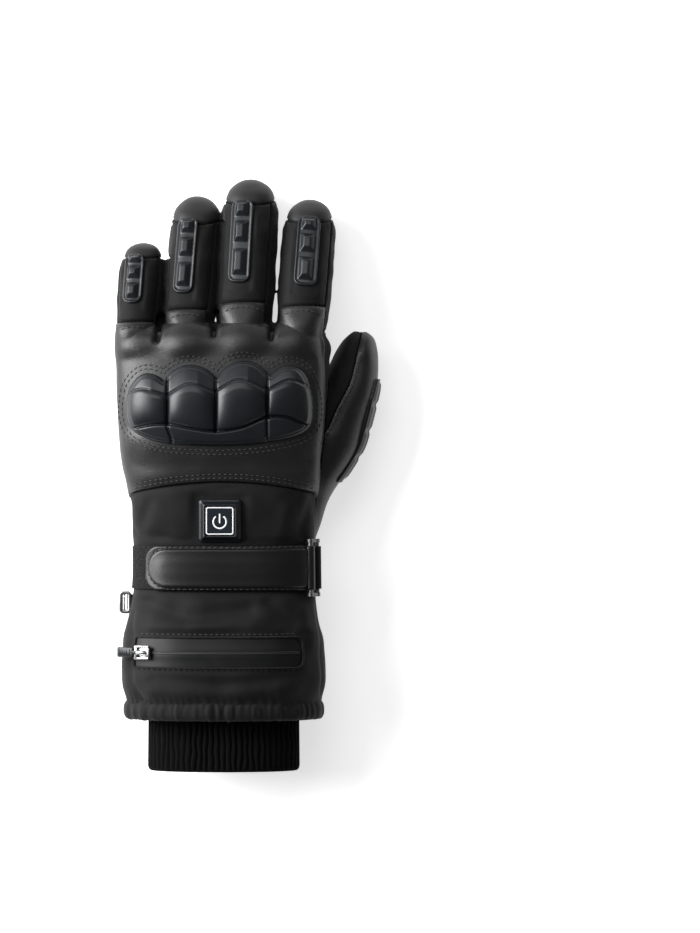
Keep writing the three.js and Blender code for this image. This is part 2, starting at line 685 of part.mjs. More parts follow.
// Thumb guard: a ribbed strip on the thumb's outer side
const thumbGuardFrom = 0.36;
const thumbGuardTo = 0.8;
const thumbGuardSteps = 8;
const thumbGuardHeight = 3.8;
const thumbGuardTilt = degToRad(8);
const thumbGuardRings = [];
for (let i = 0; i <= thumbGuardSteps; i++) {
  const row = thumbRow(lerp(thumbGuardFrom, thumbGuardTo, i / thumbGuardSteps));
  const spread = degToRad(i % thumbGuardSteps ? 24 : 12);
  const place = (side, offset) => thumbPoint(row, thumbGuardTilt + side * spread, offset);
  const rise = thumbGuardHeight * (i % 4 === 2 ? 1 : i % 2 ? 0.84 : 0.68);
  thumbGuardRings.push([
    ...[1, 0.33, -0.33, -1].map((side) => place(side, 2 * gap)),
    place(-1, 0.53 * thumbGuardHeight),
    place(-0.4, rise),
    place(0.4, rise),
    place(1, 0.53 * thumbGuardHeight),
  ]);
}
addPiece("thumb_guard", loft(thumbGuardRings), ...rubber);

// Grip panel on the palm: its outline as shares of handWidth and handLength
const gripOutline = [
  [-0.37, 0.012], [0.16, 0.012], [0.4, 0.3], [0.5, 0.5], [0.5, 0.82],
  [0.25, 0.82], [-0.02, 0.79], [-0.39, 0.75], [-0.43, 0.5],
];
const palmTop = palmLift + 0.35 * handDepth;
const toPalm = ([x, y]) => [x * handWidth, wristY + y * handLength];
const gripSkin = bodyLoft(gap + gripThickness).subtract(bodyLoft(gap));
addPiece(
  "grip_panel",
  gripSkin.intersect(prism(gripOutline.map(toPalm), 0, palmTop)).subtract(thumbClear),
  0x1b1b1d,
  0.8,
);

// Palm slider: a fin-shaped moulded patch on the grip panel
const sliderOutline = [
  [-0.322, 0.115], [-0.012, 0.133], [-0.008, 0.16], [-0.025, 0.245], [-0.105, 0.31],
  [-0.16, 0.41], [-0.182, 0.475], [-0.3, 0.33], [-0.32, 0.22],
];
const sliderSeat = gap + gripThickness + gap;
const sliderSkin = bodyLoft(sliderSeat + sliderThickness).subtract(bodyLoft(sliderSeat));
addPiece(
  "palm_slider",
  sliderSkin.intersect(prism(sliderOutline.map(toPalm), 0, palmTop)).subtract(thumbClear),
  ...rubber,
);

// Power button: a bevelled base on the cuff and a flat face set into it
const buttonX = -0.011 * handWidth;
const buttonY = wristY + 0.174 * handLength;
const buttonTop = backHeight(buttonX, buttonY) + buttonRise;
const buttonSocket = 1.4;
const buttonFoot = 6; // how deep its skirt reaches before it is cut to the cuff
function squareRing(size, z) {
  const half = size / 2;
  return [[-1, -1], [1, -1], [1, 1], [-1, 1]].map(
    ([sx, sy]) => new THREE.Vector3(buttonX + sx * half, buttonY + sy * half, z),
  );
}
const buttonBase = loft([
  squareRing(buttonSize, buttonTop - buttonRise - buttonFoot),
  squareRing(buttonSize, buttonTop - buttonRise + 1),
  squareRing(buttonFaceSize + 2.4, buttonTop),
])
  .subtract(
    box([buttonFaceSize, buttonFaceSize, 2 * buttonSocket], [buttonX, buttonY, buttonTop]),
  )
  .subtract(bodyClear);
addPiece("button_base", buttonBase, ...rubber);
const faceSide = buttonFaceSize - 2 * gap;
const faceThickness = buttonSocket - gap;
addPiece(
  "button_face",
  box([faceSide, faceSide, faceThickness], [buttonX, buttonY, buttonTop - faceThickness / 2]),
  0x1a2026,
  0.3,
);

// Strap: tape underneath, strap over it, and the ring it passes round
const strapY = wristY - 0.056 * gauntletLength;
const ringX = 0.915 * sectionAt(strapY).half;
const boreRadius = ringBar / 2 + gap;
const sleeveRadius = boreRadius + sleeveWall;
const strapTurns = { from: turnAt(-0.976 * sectionAt(strapY).half, strapY), to: turnAt(ringX, strapY) };
const backingHigh = gap + strapBackingThickness;
const backing = band({
  from: Math.PI * 1.07,
  to: turnAt(ringX - sleeveRadius - 2, strapY),
  centre: strapY,
  width: strapWidth,
  low: gap,
  high: backingHigh,
});
addPiece("strap_backing", backing, 0x1a1a1b, 0.95);

// The ring lies along the cuff's side: one bar in the strap's sleeve, the other in the anchor's.
const strapLow = backingHigh + gap;
const strapHigh = strapLow + strapThickness;
const ringSpan = 2 * sleeveRadius + 4 * gap; // between the centres of its two bars
const ringReach = strapLow + strapThickness / 2;
const ringLength = strapWidth + 2 * ringBar + 2.3;
// The ring lies along the cuff's slope, so its bars run between two points at the same height over the cuff.
const ringFoot = bodyPoint(strapY - ringLength / 2, strapTurns.to, ringReach);
const ringHead = bodyPoint(strapY + ringLength / 2, strapTurns.to, ringReach);
const ringRun = ringHead.clone().sub(ringFoot).normalize();
const strapBar = ringFoot.clone().lerp(ringHead, 0.5);
const besideBar = bodyPoint(strapY, strapTurns.to - 0.2, ringReach);
const downhill = besideBar.sub(bodyPoint(strapY, strapTurns.to, ringReach)).setY(0).normalize();
const anchorBar = strapBar.clone().addScaledVector(downhill, ringSpan);
function rod(radius, from, to, sides = 8) {
  const cylinder = new THREE.CylinderGeometry(radius, radius, from.distanceTo(to), sides);
  const turn = new THREE.Quaternion().setFromUnitVectors(
    new THREE.Vector3(0, 1, 0),
    to.clone().sub(from).normalize(),
  );
  const centre = from.clone().lerp(to, 0.5);
  return toSolid(cylinder.applyQuaternion(turn).translate(centre.x, centre.y, centre.z));
}
function alongRing(radius, length, centre) {
  const half = ringRun.clone().multiplyScalar(length / 2);
  return rod(radius, centre.clone().sub(half), centre.clone().add(half));
}
const ringEnd = (ringLength - ringBar) / 2;
const ringFacing = new THREE.Vector3().crossVectors(downhill, ringRun);
const ringCorners = [[strapBar, -1], [anchorBar, -1], [anchorBar, 1], [strapBar, 1]].map(([bar, side]) =>
  bar.clone().addScaledVector(ringRun, side * ringEnd),
);
const ringPath = ringCorners.flatMap((corner, i) => {
  const [before, after] = [ringCorners.at(i - 1), ringCorners[(i + 1) % 4]];
  return [before, after].map((other) => corner.clone().add(other.clone().sub(corner).setLength(ringBar / 2)));
});
const ringRings = ringPath.map((point, i) => {
  const ahead = ringPath[(i + 1) % 8].clone().sub(ringPath.at(i - 1)).normalize();
  const side = new THREE.Vector3().crossVectors(ringFacing, ahead);
  return evenTurns(8, 1, 2).map((turn) =>
    point
      .clone()
      .addScaledVector(side, (ringBar / 2) * Math.cos(turn))
      .addScaledVector(ringFacing, (ringBar / 2) * Math.sin(turn)),
  );
});
addPiece("strap_ring", loft(ringRings, true), 0x2b2d30, 0.4);
const roundedEnd = (turn) => {
  const fromEnd = clamp((strapTurns.from - turn) / 0.42, 0, 1);
  return Math.max(Math.sqrt(1 - (1 - fromEnd) ** 2), 0.2);
};
const strapBody = band({
  ...strapTurns,
  centre: strapY,
  width: strapWidth,
  low: strapLow,
  high: strapHigh,
  narrow: roundedEnd,
});
const strap = strapBody
  .add(alongRing(sleeveRadius, strapWidth, strapBar))
  .subtract(alongRing(boreRadius, strapWidth + 2, strapBar));
addPiece("wrist_strap", strap, ...leather);

// The anchor's webbing leaves the ring's other bar and is sewn to the side of the cuff.
const anchorBand = band({
  from: strapTurns.to - 0.15,
  to: -0.3,
  centre: strapY,
  width: strapWidth - 1,
  low: gap,
  high: gap + anchorThickness,
});
const anchor = alongRing(sleeveRadius, strapWidth - 1, anchorBar)
  .add(anchorBand)
  .subtract(alongRing(boreRadius, strapWidth + 2, anchorBar))
  .subtract(alongRing(sleeveRadius + gap, strapWidth + 2, strapBar))
  .subtract(bodyClear)
  .subtract(thumbClear);
addPiece("ring_anchor", anchor, ...cloth);

// Pocket zip
const zipX = -0.019 * gauntletWidth;
const zipLength = 0.807 * gauntletWidth;
const zipY = cuffStartY + 0.35 * gauntletLength;
const [zipLeft, zipRight] = [zipX - zipLength / 2, zipX + zipLength / 2];
function zipBand(fromX, toX, width, low, high) {
  return band({ from: turnAt(fromX, zipY), to: turnAt(toX, zipY), centre: zipY, width, low, high });
}
const tapeHigh = gap + zipTapeThickness;
addPiece("zip_tape", zipBand(zipLeft, zipRight, zipWidth, gap, tapeHigh), 0x202225, 0.35);
const tapeClear = zipBand(zipLeft - gap, zipRight + gap, zipWidth + 2 * gap, 0, tapeHigh + gap);
const coilStart = zipLeft + zipSliderLength + 1.5;
const coilLow = tapeHigh + gap;
addPiece("zip_coil", zipBand(coilStart, zipRight - 2, zipCoilWidth, coilLow, coilLow + 1), 0x151617, 0.4);

// Slider and pull lie tangent to the cuff's back where the zip starts.
const sliderMid = zipLeft + zipSliderLength / 2 + 0.5;
const sliderHere = bodyPoint(zipY, turnAt(sliderMid, zipY), tapeHigh);
const slopeAhead = bodyPoint(zipY, turnAt(sliderMid + 3, zipY), tapeHigh);
const slopeBehind = bodyPoint(zipY, turnAt(sliderMid - 3, zipY), tapeHigh);
const slope = Math.atan2(slopeAhead.z - slopeBehind.z, slopeAhead.x - slopeBehind.x);
function onSlope(geometry) {
  return toSolid(geometry.rotateY(-slope).translate(sliderHere.x, sliderHere.y, sliderHere.z));
}
const sliderHeight = 3.4;
const sliderWidth = 8;
const bridgeHeight = 1.6;
const sliderBody = new THREE.BoxGeometry(zipSliderLength, sliderWidth, sliderHeight);
sliderBody.translate(0, 0, 0.38 * sliderHeight);
const sliderBridge = new THREE.BoxGeometry(0.8 * zipSliderLength, 0.3 * sliderWidth, bridgeHeight);
sliderBridge.translate(-0.08 * zipSliderLength, 0, sliderHeight + 0.12 * bridgeHeight);
const zipSlider = onSlope(sliderBody).add(onSlope(sliderBridge)).subtract(tapeClear).subtract(bodyClear);
addPiece("zip_slider", zipSlider, ...metal);
const pullMid = -zipSliderLength / 2 - gap - zipPullLength / 2;
const zipPull = new THREE.BoxGeometry(zipPullLength, zipPullWidth, zipPullThickness);
zipPull.translate(pullMid, 0, 0.7 * sliderHeight);
addPiece("zip_pull", onSlope(zipPull).subtract(tapeClear).subtract(bodyClear), ...rubber);

// Side clip on the little finger's side: a webbing tab sewn low on the cuff, and the pressed metal hook in it
const clipY = wristY - 0.31 * gauntletLength;
const clipZ = sectionAt(clipY).mid - clipDrop;
const clipX = -sectionAt(clipY).half;
const webbingX = clipX + webbingReach / 2 - 1;
const webbing = box([webbingReach, webbingWidth, webbingThickness], [webbingX, clipY, clipZ]);
addPiece("clip_webbing", webbing.subtract(bodyClear), ...cloth);
const hookX = clipX - 1 - gap - clipWidth / 2;
const hookPlate = box([clipWidth, clipHeight, clipThickness], [hookX, clipY, clipZ]);
const hookSlot = box([clipWidth - 3, clipHeight - 4, 2 * clipThickness], [hookX - 0.4, clipY, clipZ]);
addPiece("clip_hook", hookPlate.subtract(hookSlot), ...metal);

// The origin is on the table under the middle of the glove.
const bounds = new THREE.Box3().setFromObject(group);
const middle = bounds.getCenter(new THREE.Vector3());
group.position.set(-middle.x, -middle.y, -bounds.min.z);
group.updateMatrixWorld(true);

export default group;
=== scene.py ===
import math

import bmesh
import bpy
import numpy as np
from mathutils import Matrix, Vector, noise
from mathutils.bvhtree import BVHTree
from mathutils.kdtree import KDTree


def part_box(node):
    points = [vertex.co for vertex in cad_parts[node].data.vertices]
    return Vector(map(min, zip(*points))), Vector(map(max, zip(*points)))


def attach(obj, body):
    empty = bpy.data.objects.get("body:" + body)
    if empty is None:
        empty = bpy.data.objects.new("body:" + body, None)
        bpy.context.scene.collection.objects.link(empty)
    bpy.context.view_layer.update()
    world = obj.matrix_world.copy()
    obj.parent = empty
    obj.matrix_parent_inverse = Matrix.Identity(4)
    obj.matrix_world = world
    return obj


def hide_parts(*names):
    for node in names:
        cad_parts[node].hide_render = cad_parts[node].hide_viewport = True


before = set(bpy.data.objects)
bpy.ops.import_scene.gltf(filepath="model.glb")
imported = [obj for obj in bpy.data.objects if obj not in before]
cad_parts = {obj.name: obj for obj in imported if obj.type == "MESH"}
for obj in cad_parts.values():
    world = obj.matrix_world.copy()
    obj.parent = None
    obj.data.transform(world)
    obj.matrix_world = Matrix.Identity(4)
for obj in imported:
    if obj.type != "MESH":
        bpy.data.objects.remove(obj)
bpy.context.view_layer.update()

# A heated winter glove for the left hand, lying palm down. Everything is worked out in millimetres, with
# x = 0 on the glove's centreline, y = 0 at the knit cuff's end and z = 0 on the table, and then moved to the frame.
glove = {
    "handWidth": 120, "handDepth": 46, "handLength": 125.5, "palmLift": 12,
    "gauntletWidth": 111.5, "gauntletDepth": 62, "gauntletLength": 78.5,
    "knitReach": 29, "hemHeight": 10.5, "hemBulge": 2.2, "wall": 3.5,
    "thumbLength": 134, "thumbDepth": 40, "guardRise": 8,
}
handWidth, handDepth, handLength = glove["handWidth"], glove["handDepth"], glove["handLength"]
gauntletWidth, gauntletDepth = glove["gauntletWidth"], glove["gauntletDepth"]
gauntletLength, palmLift = glove["gauntletLength"], glove["palmLift"]
thumbLength, thumbDepth = glove["thumbLength"], glove["thumbDepth"]
hemEndY = glove["knitReach"]
cuffStartY = hemEndY + glove["hemHeight"]
wristY = cuffStartY + gauntletLength
crotchY = wristY + handLength
backSeamY = wristY + 0.315 * handLength
knuckleHeight = palmLift + 0.48 * handDepth
sideZ = palmLift + 0.46 * handDepth
thumbStartY = wristY - 0.045 * handLength
strapY = wristY - 0.056 * gauntletLength
zipX, zipY = -0.019 * gauntletWidth, cuffStartY + 0.35 * gauntletLength
buttonX, buttonY = -0.011 * handWidth, wristY + 0.174 * handLength

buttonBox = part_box("button_base")
shift = Vector(((buttonBox[0].x + buttonBox[1].x) / 2 - buttonX / 1000,
                (buttonBox[0].y + buttonBox[1].y) / 2 - buttonY / 1000, 0))

# Sections of the cuff and hand: place along the run, half width share, palm lift, depth share, squareness
cuffRows = [(0, .965, 0, .965, 2.3), (.09, 1, 0, 1, 2.3), (.26, 1, 0, 1, 2.35), (.43, .98, 0, .965, 2.4),
            (.6, .936, .12, .89, 2.4), (.77, .895, .3, .81, 2.45)]
handRows = [(0, .82, .42, 1.02, 2.5), (.2, .846, .52, 1.02, 2.6), (.3, .873, .6, 1.03, 2.6),
            (.41, .915, .7, 1.05, 2.6), (.55, .94, .85, 1.06, 2.6), (.75, .962, 1, 1, 2.6),
            (.88, .972, 1.12, .9, 2.6), (1, .945, 1.5, .73, 2.5), (1.03, .9, 1.8, .57, 2.4),
            (1.05, .83, 2.2, .33, 2.3)]
bodyRows = []
for along, wide, lift, deep, square in cuffRows:
    press = 1.6 * max(0, 1 - lift / 0.2)  # its weight presses the cuff's round section flat
    bodyRows.append((cuffStartY + along * gauntletLength, wide * gauntletWidth / 2,
                     lift * palmLift + deep * gauntletDepth / 2, deep * gauntletDepth / 2 + press, square))
for along, wide, lift, deep, square in handRows:
    bodyRows.append((wristY + along * handLength, wide * handWidth / 2,
                     lift * palmLift + deep * handDepth / 2, deep * handDepth / 2, square))
bodyRows.insert(0, (hemEndY, *bodyRows[0][1:]))
bodyRows = np.array(bodyRows, float)

# Fingers: root and lean as shares of handWidth, then length, width, depth, drop in mm, roll of the guard in
# degrees, and where the leather ends, the cap starts and the guard runs
fingerKeys = ("name", "root", "lean", "length", "width", "depth", "drop", "roll",
              "leather", "cap", "guardFrom", "guardTo", "guardWidth")
fingers = [dict(zip(fingerKeys, row)) for row in [
    ("little", -.398, .024, 51, 26, 25, 17, 15, 6.5, 43.5, 13.5, 41, 10.4),
    ("ring", -.167, .045, 78, 28.6, 27, 24.5, 14, 13.5, 62.5, 19, 61, 11),
    ("middle", .094, .033, 87.5, 31.2, 28.5, 25.1, 12, 17.5, 73.5, 25, 71.5, 11.8),
    ("index", .362, .045, 76, 29, 27, 24.5, 0, 15.5, 63.5, 23, 62, 12.4)]]
fingerSquare, fingerDome, rootDepth = 2.25, 0.64, 20
bodyFlat, bodySquare = 0.46, 2.45
hemSquare, thumbSquare = 2.3, 2.2

# Thumb sections: place along it, centre and half width as shares of handWidth, low and high of its depth
thumbRows = np.array([
    (0, .225, .117, .25, .7), (.05, .233, .15, .17, .8), (.165, .258, .175, .07, .9), (.305, .292, .192, 0, .97),
    (.42, .354, .219, 0, 1), (.515, .412, .221, 0, 1), (.58, .467, .188, 0, .98), (.68, .521, .163, 0, .93),
    (.77, .575, .13, .02, .86), (.86, .605, .103, .05, .78), (.925, .621, .081, .11, .71),
    (.97, .634, .052, .2, .6), (.995, .64, .02, .31, .49)])


# Plain helpers on arrays
def smooth(value, low=0.0, high=1.0):
    t = np.clip((np.asarray(value, float) - low) / (high - low), 0, 1)
    return t * t * (3 - 2 * t)


def curveThrough(xs, ys, x):
    xs, ys = np.asarray(xs, float), np.asarray(ys, float)
    slope = np.gradient(ys, xs)
    i = np.clip(np.searchsorted(xs, x) - 1, 0, len(xs) - 2)
    w = xs[i + 1] - xs[i]
    t = np.clip((x - xs[i]) / w, 0, 1)
    return ((2 * t ** 3 - 3 * t ** 2 + 1) * ys[i] + (t ** 3 - 2 * t ** 2 + t) * w * slope[i]
            + (3 * t ** 2 - 2 * t ** 3) * ys[i + 1] + (t ** 3 - t ** 2) * w * slope[i + 1])


def roundCos(turn, square):
    c = np.cos(turn)
    return np.sign(c) * np.abs(c) ** (2 / square)


def roundSin(turn, square):
    s = np.sin(turn)
    return np.sign(s) * np.abs(s) ** (2 / square)


def evenTurns(count, flat, square, fine=2880):
    turn = np.linspace(0, 2 * math.pi, fine + 1)
    x, z = roundCos(turn, square), flat * roundSin(turn, square)
    far = np.concatenate([[0], np.cumsum(np.hypot(np.diff(x), np.diff(z)))])
    return np.interp(np.arange(count) / count * far[-1], far, turn)


# Distance from the points (x, y) to the nearest of the segments that run from starts to ends
def pathDistance(x, y, starts, ends):
    best = np.full(len(x), 1e9)
    for (ax, ay), (bx, by) in zip(starts, ends):
        dx, dy = bx - ax, by - ay
        along = np.clip(((x - ax) * dx + (y - ay) * dy) / max(dx * dx + dy * dy, 1e-9), 0, 1)
        best = np.minimum(best, np.hypot(x - ax - along * dx, y - ay - along * dy))
    return best


def grain(points, size, seed=0.0):
    offset = Vector((seed * 17.3, seed * 5.1, seed * 9.7))
    return np.array([noise.noise(Vector(p) / size + offset) for p in points])


# The glove's surfaces
def bodySection(y):
    y = np.asarray(y, float)
    return [curveThrough(bodyRows[:, 0], bodyRows[:, k], y) for k in range(1, 5)]


def bodySurface(y, turn, offset=0.0):
    half, mid, deep, square = bodySection(y)
    x = roundCos(turn, square) * (half + offset)
    z = mid + roundSin(turn, square) * (deep + offset)
    y = np.broadcast_to(np.asarray(y, float), x.shape)
    return np.stack([x, y, np.maximum(z, -np.asarray(offset))], -1)


# Height of the back, where side is 1, or of the palm, where it is -1
def bodyHeight(x, y, offset=0.0, side=1):
    half, mid, deep, square = bodySection(y)
    share = np.minimum(np.abs(x) / (half + offset), 0.999)
    return mid + side * (deep + offset) * (1 - share ** square) ** (1 / square)


def fingerCentre(finger, y):
    share = np.maximum((y - crotchY) / finger["length"], 0)
    x = (finger["root"] + finger["lean"] * np.minimum(share, 1)) * handWidth
    return x, knuckleHeight - finger["drop"] * share ** 1.3


def fingerSurface(finger, y, turn, offset=0.0, full=None):
    y = np.asarray(y, float)
    x0, z0 = fingerCentre(finger, y - 0.5)
    x1, z1 = fingerCentre(finger, y + 0.5)
    x, z = fingerCentre(finger, y)
    ahead = np.stack([x1 - x0, np.ones_like(x), z1 - z0], -1)
    ahead /= np.linalg.norm(ahead, axis=-1, keepdims=True)
    right = np.cross(ahead, [0, 0, 1.0])
    right /= np.linalg.norm(right, axis=-1, keepdims=True)
    up = np.cross(right, ahead)
    if full is None:
        dome = fingerDome * finger["width"] + offset
        left = np.clip((crotchY + finger["length"] + offset - y) / dome, 0, 1)
        full = np.sqrt(1 - (1 - left) ** 2) * (1 - 0.1 * np.clip((crotchY - y) / rootDepth, 0, 1))
    a = full * (finger["width"] / 2 + offset) * roundCos(turn, fingerSquare)
    b = full * (finger["depth"] / 2 + offset) * roundSin(turn, fingerSquare)
    point = np.stack([x, y, z], -1) + right * a[..., None] + up * b[..., None]
    point[..., 2] = np.maximum(point[..., 2], -offset)
    return point


def thumbSection(along):
    return [curveThrough(thumbRows[:, 0], thumbRows[:, k], along) for k in range(1, 5)]


def thumbSurface(along, turn, offset=0.0):
    along = np.asarray(along, float)
    centre, half, low, high = thumbSection(along)
    half = np.maximum(half * handWidth + offset, 0.4)
    deep = np.maximum((high - low) * thumbDepth / 2 + offset, 0.4)
    x = centre * handWidth + half * roundCos(turn, thumbSquare)
    z = (high + low) * thumbDepth / 2 + deep * roundSin(turn, thumbSquare)
    y = np.broadcast_to(thumbStartY + along * thumbLength, x.shape)
    return np.stack([x, y, np.maximum(z, -offset)], -1)


# Meshes from arrays
def loftFaces(rows, count, loop=False, caps=True):
    faces = []
    for i in range(rows if loop else rows - 1):
        here, there = i * count, ((i + 1) % rows) * count
        faces += [(here + k, here + (k + 1) % count, there + (k + 1) % count, there + k) for k in range(count)]
    if caps and not loop:
        faces.append(tuple(range(count - 1, -1, -1)))
        faces.append(tuple(range((rows - 1) * count, rows * count)))
    return faces


def newMesh(name, points, faces):
    mesh = bpy.data.meshes.new(name)
    mesh.from_pydata([tuple(p) for p in np.asarray(points, float)], [], [tuple(f) for f in faces])
    mesh.update()
    return mesh


def outward(mesh):
    bm = bmesh.new()
    bm.from_mesh(mesh)
    bmesh.ops.recalc_face_normals(bm, faces=bm.faces[:])
    bm.to_mesh(mesh)
    bm.free()


def addPiece(name, points, faces, material, slot, nodes=(), flat=False, fix=True):
    mesh = newMesh(name, np.asarray(points, float) / 1000 + np.array(shift), faces)
    if fix:
        outward(mesh)
    mesh.polygons.foreach_set("use_smooth", [not flat] * len(mesh.polygons))
    mesh.materials.append(material)
    piece = bpy.data.objects.new(name, mesh)
    bpy.context.scene.collection.objects.link(piece)
    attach(piece, "root")
    if nodes:
        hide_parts(*nodes)
    return piece


def joinMeshes(parts):
    points, faces, start = [], [], 0
    for part, partFaces in parts:
        points.append(np.asarray(part, float).reshape(-1, 3))
        faces += [tuple(start + i for i in face) for face in partFaces]
        start += len(points[-1])
    return np.concatenate(points), faces


# Splits the faces of bm where field, one number per vertex, changes sign, so that vertices lie on its zero line
def cutAlong(bm, layer, pinned, field):
    bm.verts.ensure_lookup_table()
    values = field(np.array([v.co for v in bm.verts]))
    values[np.abs(values) < 1e-5] = 1e-5
    for v, value in zip(bm.verts, values):
        v[layer] = float(value)
    best = {}
    for e in bm.edges:
        a, b = e.verts
        fa, fb = a[layer], b[layer]
        if fa * fb < 0:
            t = fa / (fa - fb)
            for v, other, share in ((a, b, t), (b, a, 1 - t)):
                limit = 0.02 if v[pinned] else 0.42
                if share < limit and share < best.get(v, (1,))[0]:
                    best[v] = (share, v.co.lerp(other.co, share))
    for v, (share, place) in best.items():
        v.co = place
        v[layer] = 0.0
    crossing = [e for e in bm.edges if e.verts[0][layer] * e.verts[1][layer] < 0]
    for e in crossing:
        a, b = e.verts
        share = a[layer] / (a[layer] - b[layer])
        made = bmesh.utils.edge_split(e, a, share)[1]
        made[layer] = 0.0
    zero = [v for v in bm.verts if v[layer] == 0.0]
    for v in zero:
        v[pinned] = 1
    bmesh.ops.connect_verts(bm, verts=zero)


# The skin: hand, fingers and thumb joined into one closed form, remeshed and smoothed
skin = {"voxel": 1.15, "smoothing": 12, "rootNarrow": 0.9, "hemCut": 36}


def skinSources():
    turns = evenTurns(160, bodyFlat, bodySquare)
    ys = np.concatenate([np.arange(hemEndY, 240, 2.0), np.linspace(240.5, 249.7, 8)])
    body = bodySurface(ys[:, None], turns[None, :])
    body[..., 2] = np.maximum(body[..., 2], 0.02)
    parts = [(body, loftFaces(len(ys), 160))]
    for finger in fingers:
        turns = evenTurns(64, finger["depth"] / finger["width"], fingerSquare)
        tip, dome = crotchY + finger["length"], fingerDome * finger["width"]
        ys = np.concatenate([np.arange(crotchY - rootDepth, tip - dome, 2.0),
                             tip - dome * (1 - np.sin(np.linspace(0, 0.98 * math.pi / 2, 14)))])
        near = 1 - smooth((ys - crotchY) / 30)
        ring = fingerSurface(finger, ys[:, None], turns[None, :])
        x, z = fingerCentre(finger, ys)
        ring[..., 0] += (x[:, None] - ring[..., 0]) * (near * skin["rootNarrow"] / finger["width"] * 2)[:, None]
        parts.append((ring, loftFaces(len(ys), 64)))
    turns = evenTurns(72, 0.75, thumbSquare)
    along = np.concatenate([np.linspace(0, 0.93, 56), np.linspace(0.94, 0.995, 8)])
    thumb = thumbSurface(along[:, None], turns[None, :])
    return parts, (thumb, loftFaces(len(along), 72))


def remeshed(parts):
    points, faces = joinMeshes(parts)
    thing = bpy.data.objects.new("skinSource", newMesh("skinSource", points, faces))
    bpy.context.scene.collection.objects.link(thing)
    change = thing.modifiers.new("voxels", "REMESH")
    change.mode, change.voxel_size, change.adaptivity = "VOXEL", skin["voxel"], 0.0
    done = bpy.data.meshes.new_from_object(thing.evaluated_get(bpy.context.evaluated_depsgraph_get()))
    bpy.data.objects.remove(thing)
    return done


def smoothPoints(points, edges, rounds):
    count = np.bincount(edges.ravel(), minlength=len(points))[:, None]
    for i in range(rounds):
        total = np.zeros_like(points)
        for k in range(3):
            total[:, k] = (np.bincount(edges[:, 0], points[edges[:, 1], k], len(points))
                           + np.bincount(edges[:, 1], points[edges[:, 0], k], len(points)))
        factor = 0.6 if i % 2 == 0 else -0.62
        points = points + factor * (total / np.maximum(count, 1) - points)
    return points


def treeOf(part):
    points, faces = part
    return BVHTree.FromPolygons([Vector(p) for p in np.asarray(points).reshape(-1, 3)], faces)


bodyParts, thumbPart = skinSources()
handTree, thumbTree = treeOf(joinMeshes(bodyParts)), treeOf(thumbPart)
raw = remeshed(bodyParts + [thumbPart])
rawPoints = np.zeros(len(raw.vertices) * 3)
raw.vertices.foreach_get("co", rawPoints)
rawEdges = np.zeros(len(raw.edges) * 2, int)
raw.edges.foreach_get("vertices", rawEdges)
rawPoints = smoothPoints(rawPoints.reshape(-1, 3), rawEdges.reshape(-1, 2), skin["smoothing"])
raw.vertices.foreach_set("co", rawPoints.ravel())
raw.update()
print("skin remeshed:", len(raw.vertices), "points")

# Seams as fields over the skin: each is zero on its seam line
seams = {
    "arcY": 161.2, "arcDrop": 6.2, "arcHalf": 52,
    "gripBottom": 118.6, "gripTopLeft": 211, "gripTopRight": 220.6,
    "gripHigh": 16, "capUnder": 6.5, "sideSeam": 0.56, "thumbSeam": 0.06, "rightLift": 9,
}


def arcY(x):
    return seams["arcY"] - seams["arcDrop"] * (x / seams["arcHalf"]) ** 2


def nearestFinger(p):
    share = np.clip((p[:, 1] - crotchY) / 60, 0, 1)
    roots = np.array([f["root"] + f["lean"] * 0.5 for f in fingers]) * handWidth
    return np.argmin(np.abs(p[:, 0][:, None] - roots[None, :] - 2 * share[:, None]), 1)


def byFinger(p, key):
    return np.array([f[key] for f in fingers], float)[nearestFinger(p)]


def fingerPlace(p):
    which = nearestFinger(p)
    x, z = np.zeros(len(p)), np.zeros(len(p))
    for i, finger in enumerate(fingers):
        here = which == i
        x[here], z[here] = fingerCentre(finger, p[here, 1])
    return x, z


def cuffField(p):
    rise = smooth(p[:, 2], 6, 40)
    return p[:, 1] - (wristY + (arcY(np.clip(p[:, 0], -56, 56)) - wristY) * rise)


def aboveSide(p):
    x, z = fingerPlace(p)
    roll = np.radians(byFinger(p, "roll")) * 0.8
    level = seams["sideSeam"] * byFinger(p, "depth") / 2
    return (p[:, 2] - z) * np.cos(roll) - (p[:, 0] - x) * np.sin(roll) - level


def leatherField(p):
    x, z = fingerPlace(p)
    beyond = smooth(p[:, 1], crotchY - 7, crotchY + 3)
    lift = seams["rightLift"] * smooth(p[:, 0], 20, 50) * smooth(p[:, 1], wristY + 30, wristY + 60)
    side = p[:, 2] - sideZ - lift
    side = side * (1 - beyond) + aboveSide(p) * beyond
    root = crotchY + byFinger(p, "leather") + 0.8 * (1 - ((p[:, 0] - x) / 14) ** 2) - p[:, 1]
    return np.minimum(np.minimum(cuffField(p), side), root)


def capField(p):
    x, z = fingerPlace(p)
    up = np.clip((p[:, 2] - z) / (byFinger(p, "depth") / 2), -1, 1)
    back, under = byFinger(p, "cap"), byFinger(p, "length") - seams["capUnder"]
    return p[:, 1] - crotchY - (under + (back - under) * (0.5 + 0.5 * up))


def sideField(p):
    return np.where(p[:, 1] > crotchY + 2, aboveSide(p), 5.0)


def gripField(p):
    slope = seams["gripTopRight"] - seams["gripTopLeft"]
    top = seams["gripTopLeft"] + slope * np.clip((p[:, 0] + 47) / 75, 0, 1)
    low = np.minimum(p[:, 1] - seams["gripBottom"], top - p[:, 1])
    return np.minimum(low, seams["gripHigh"] - p[:, 2])


def thumbField(p):
    near = (p[:, 0] > 5) & (p[:, 1] > 96)
    value = np.full(len(p), -9.0)
    for i in np.nonzero(near)[0]:
        v = Vector(p[i])
        value[i] = min(handTree.find_nearest(v)[3], 9) - min(thumbTree.find_nearest(v)[3], 9)
    return value


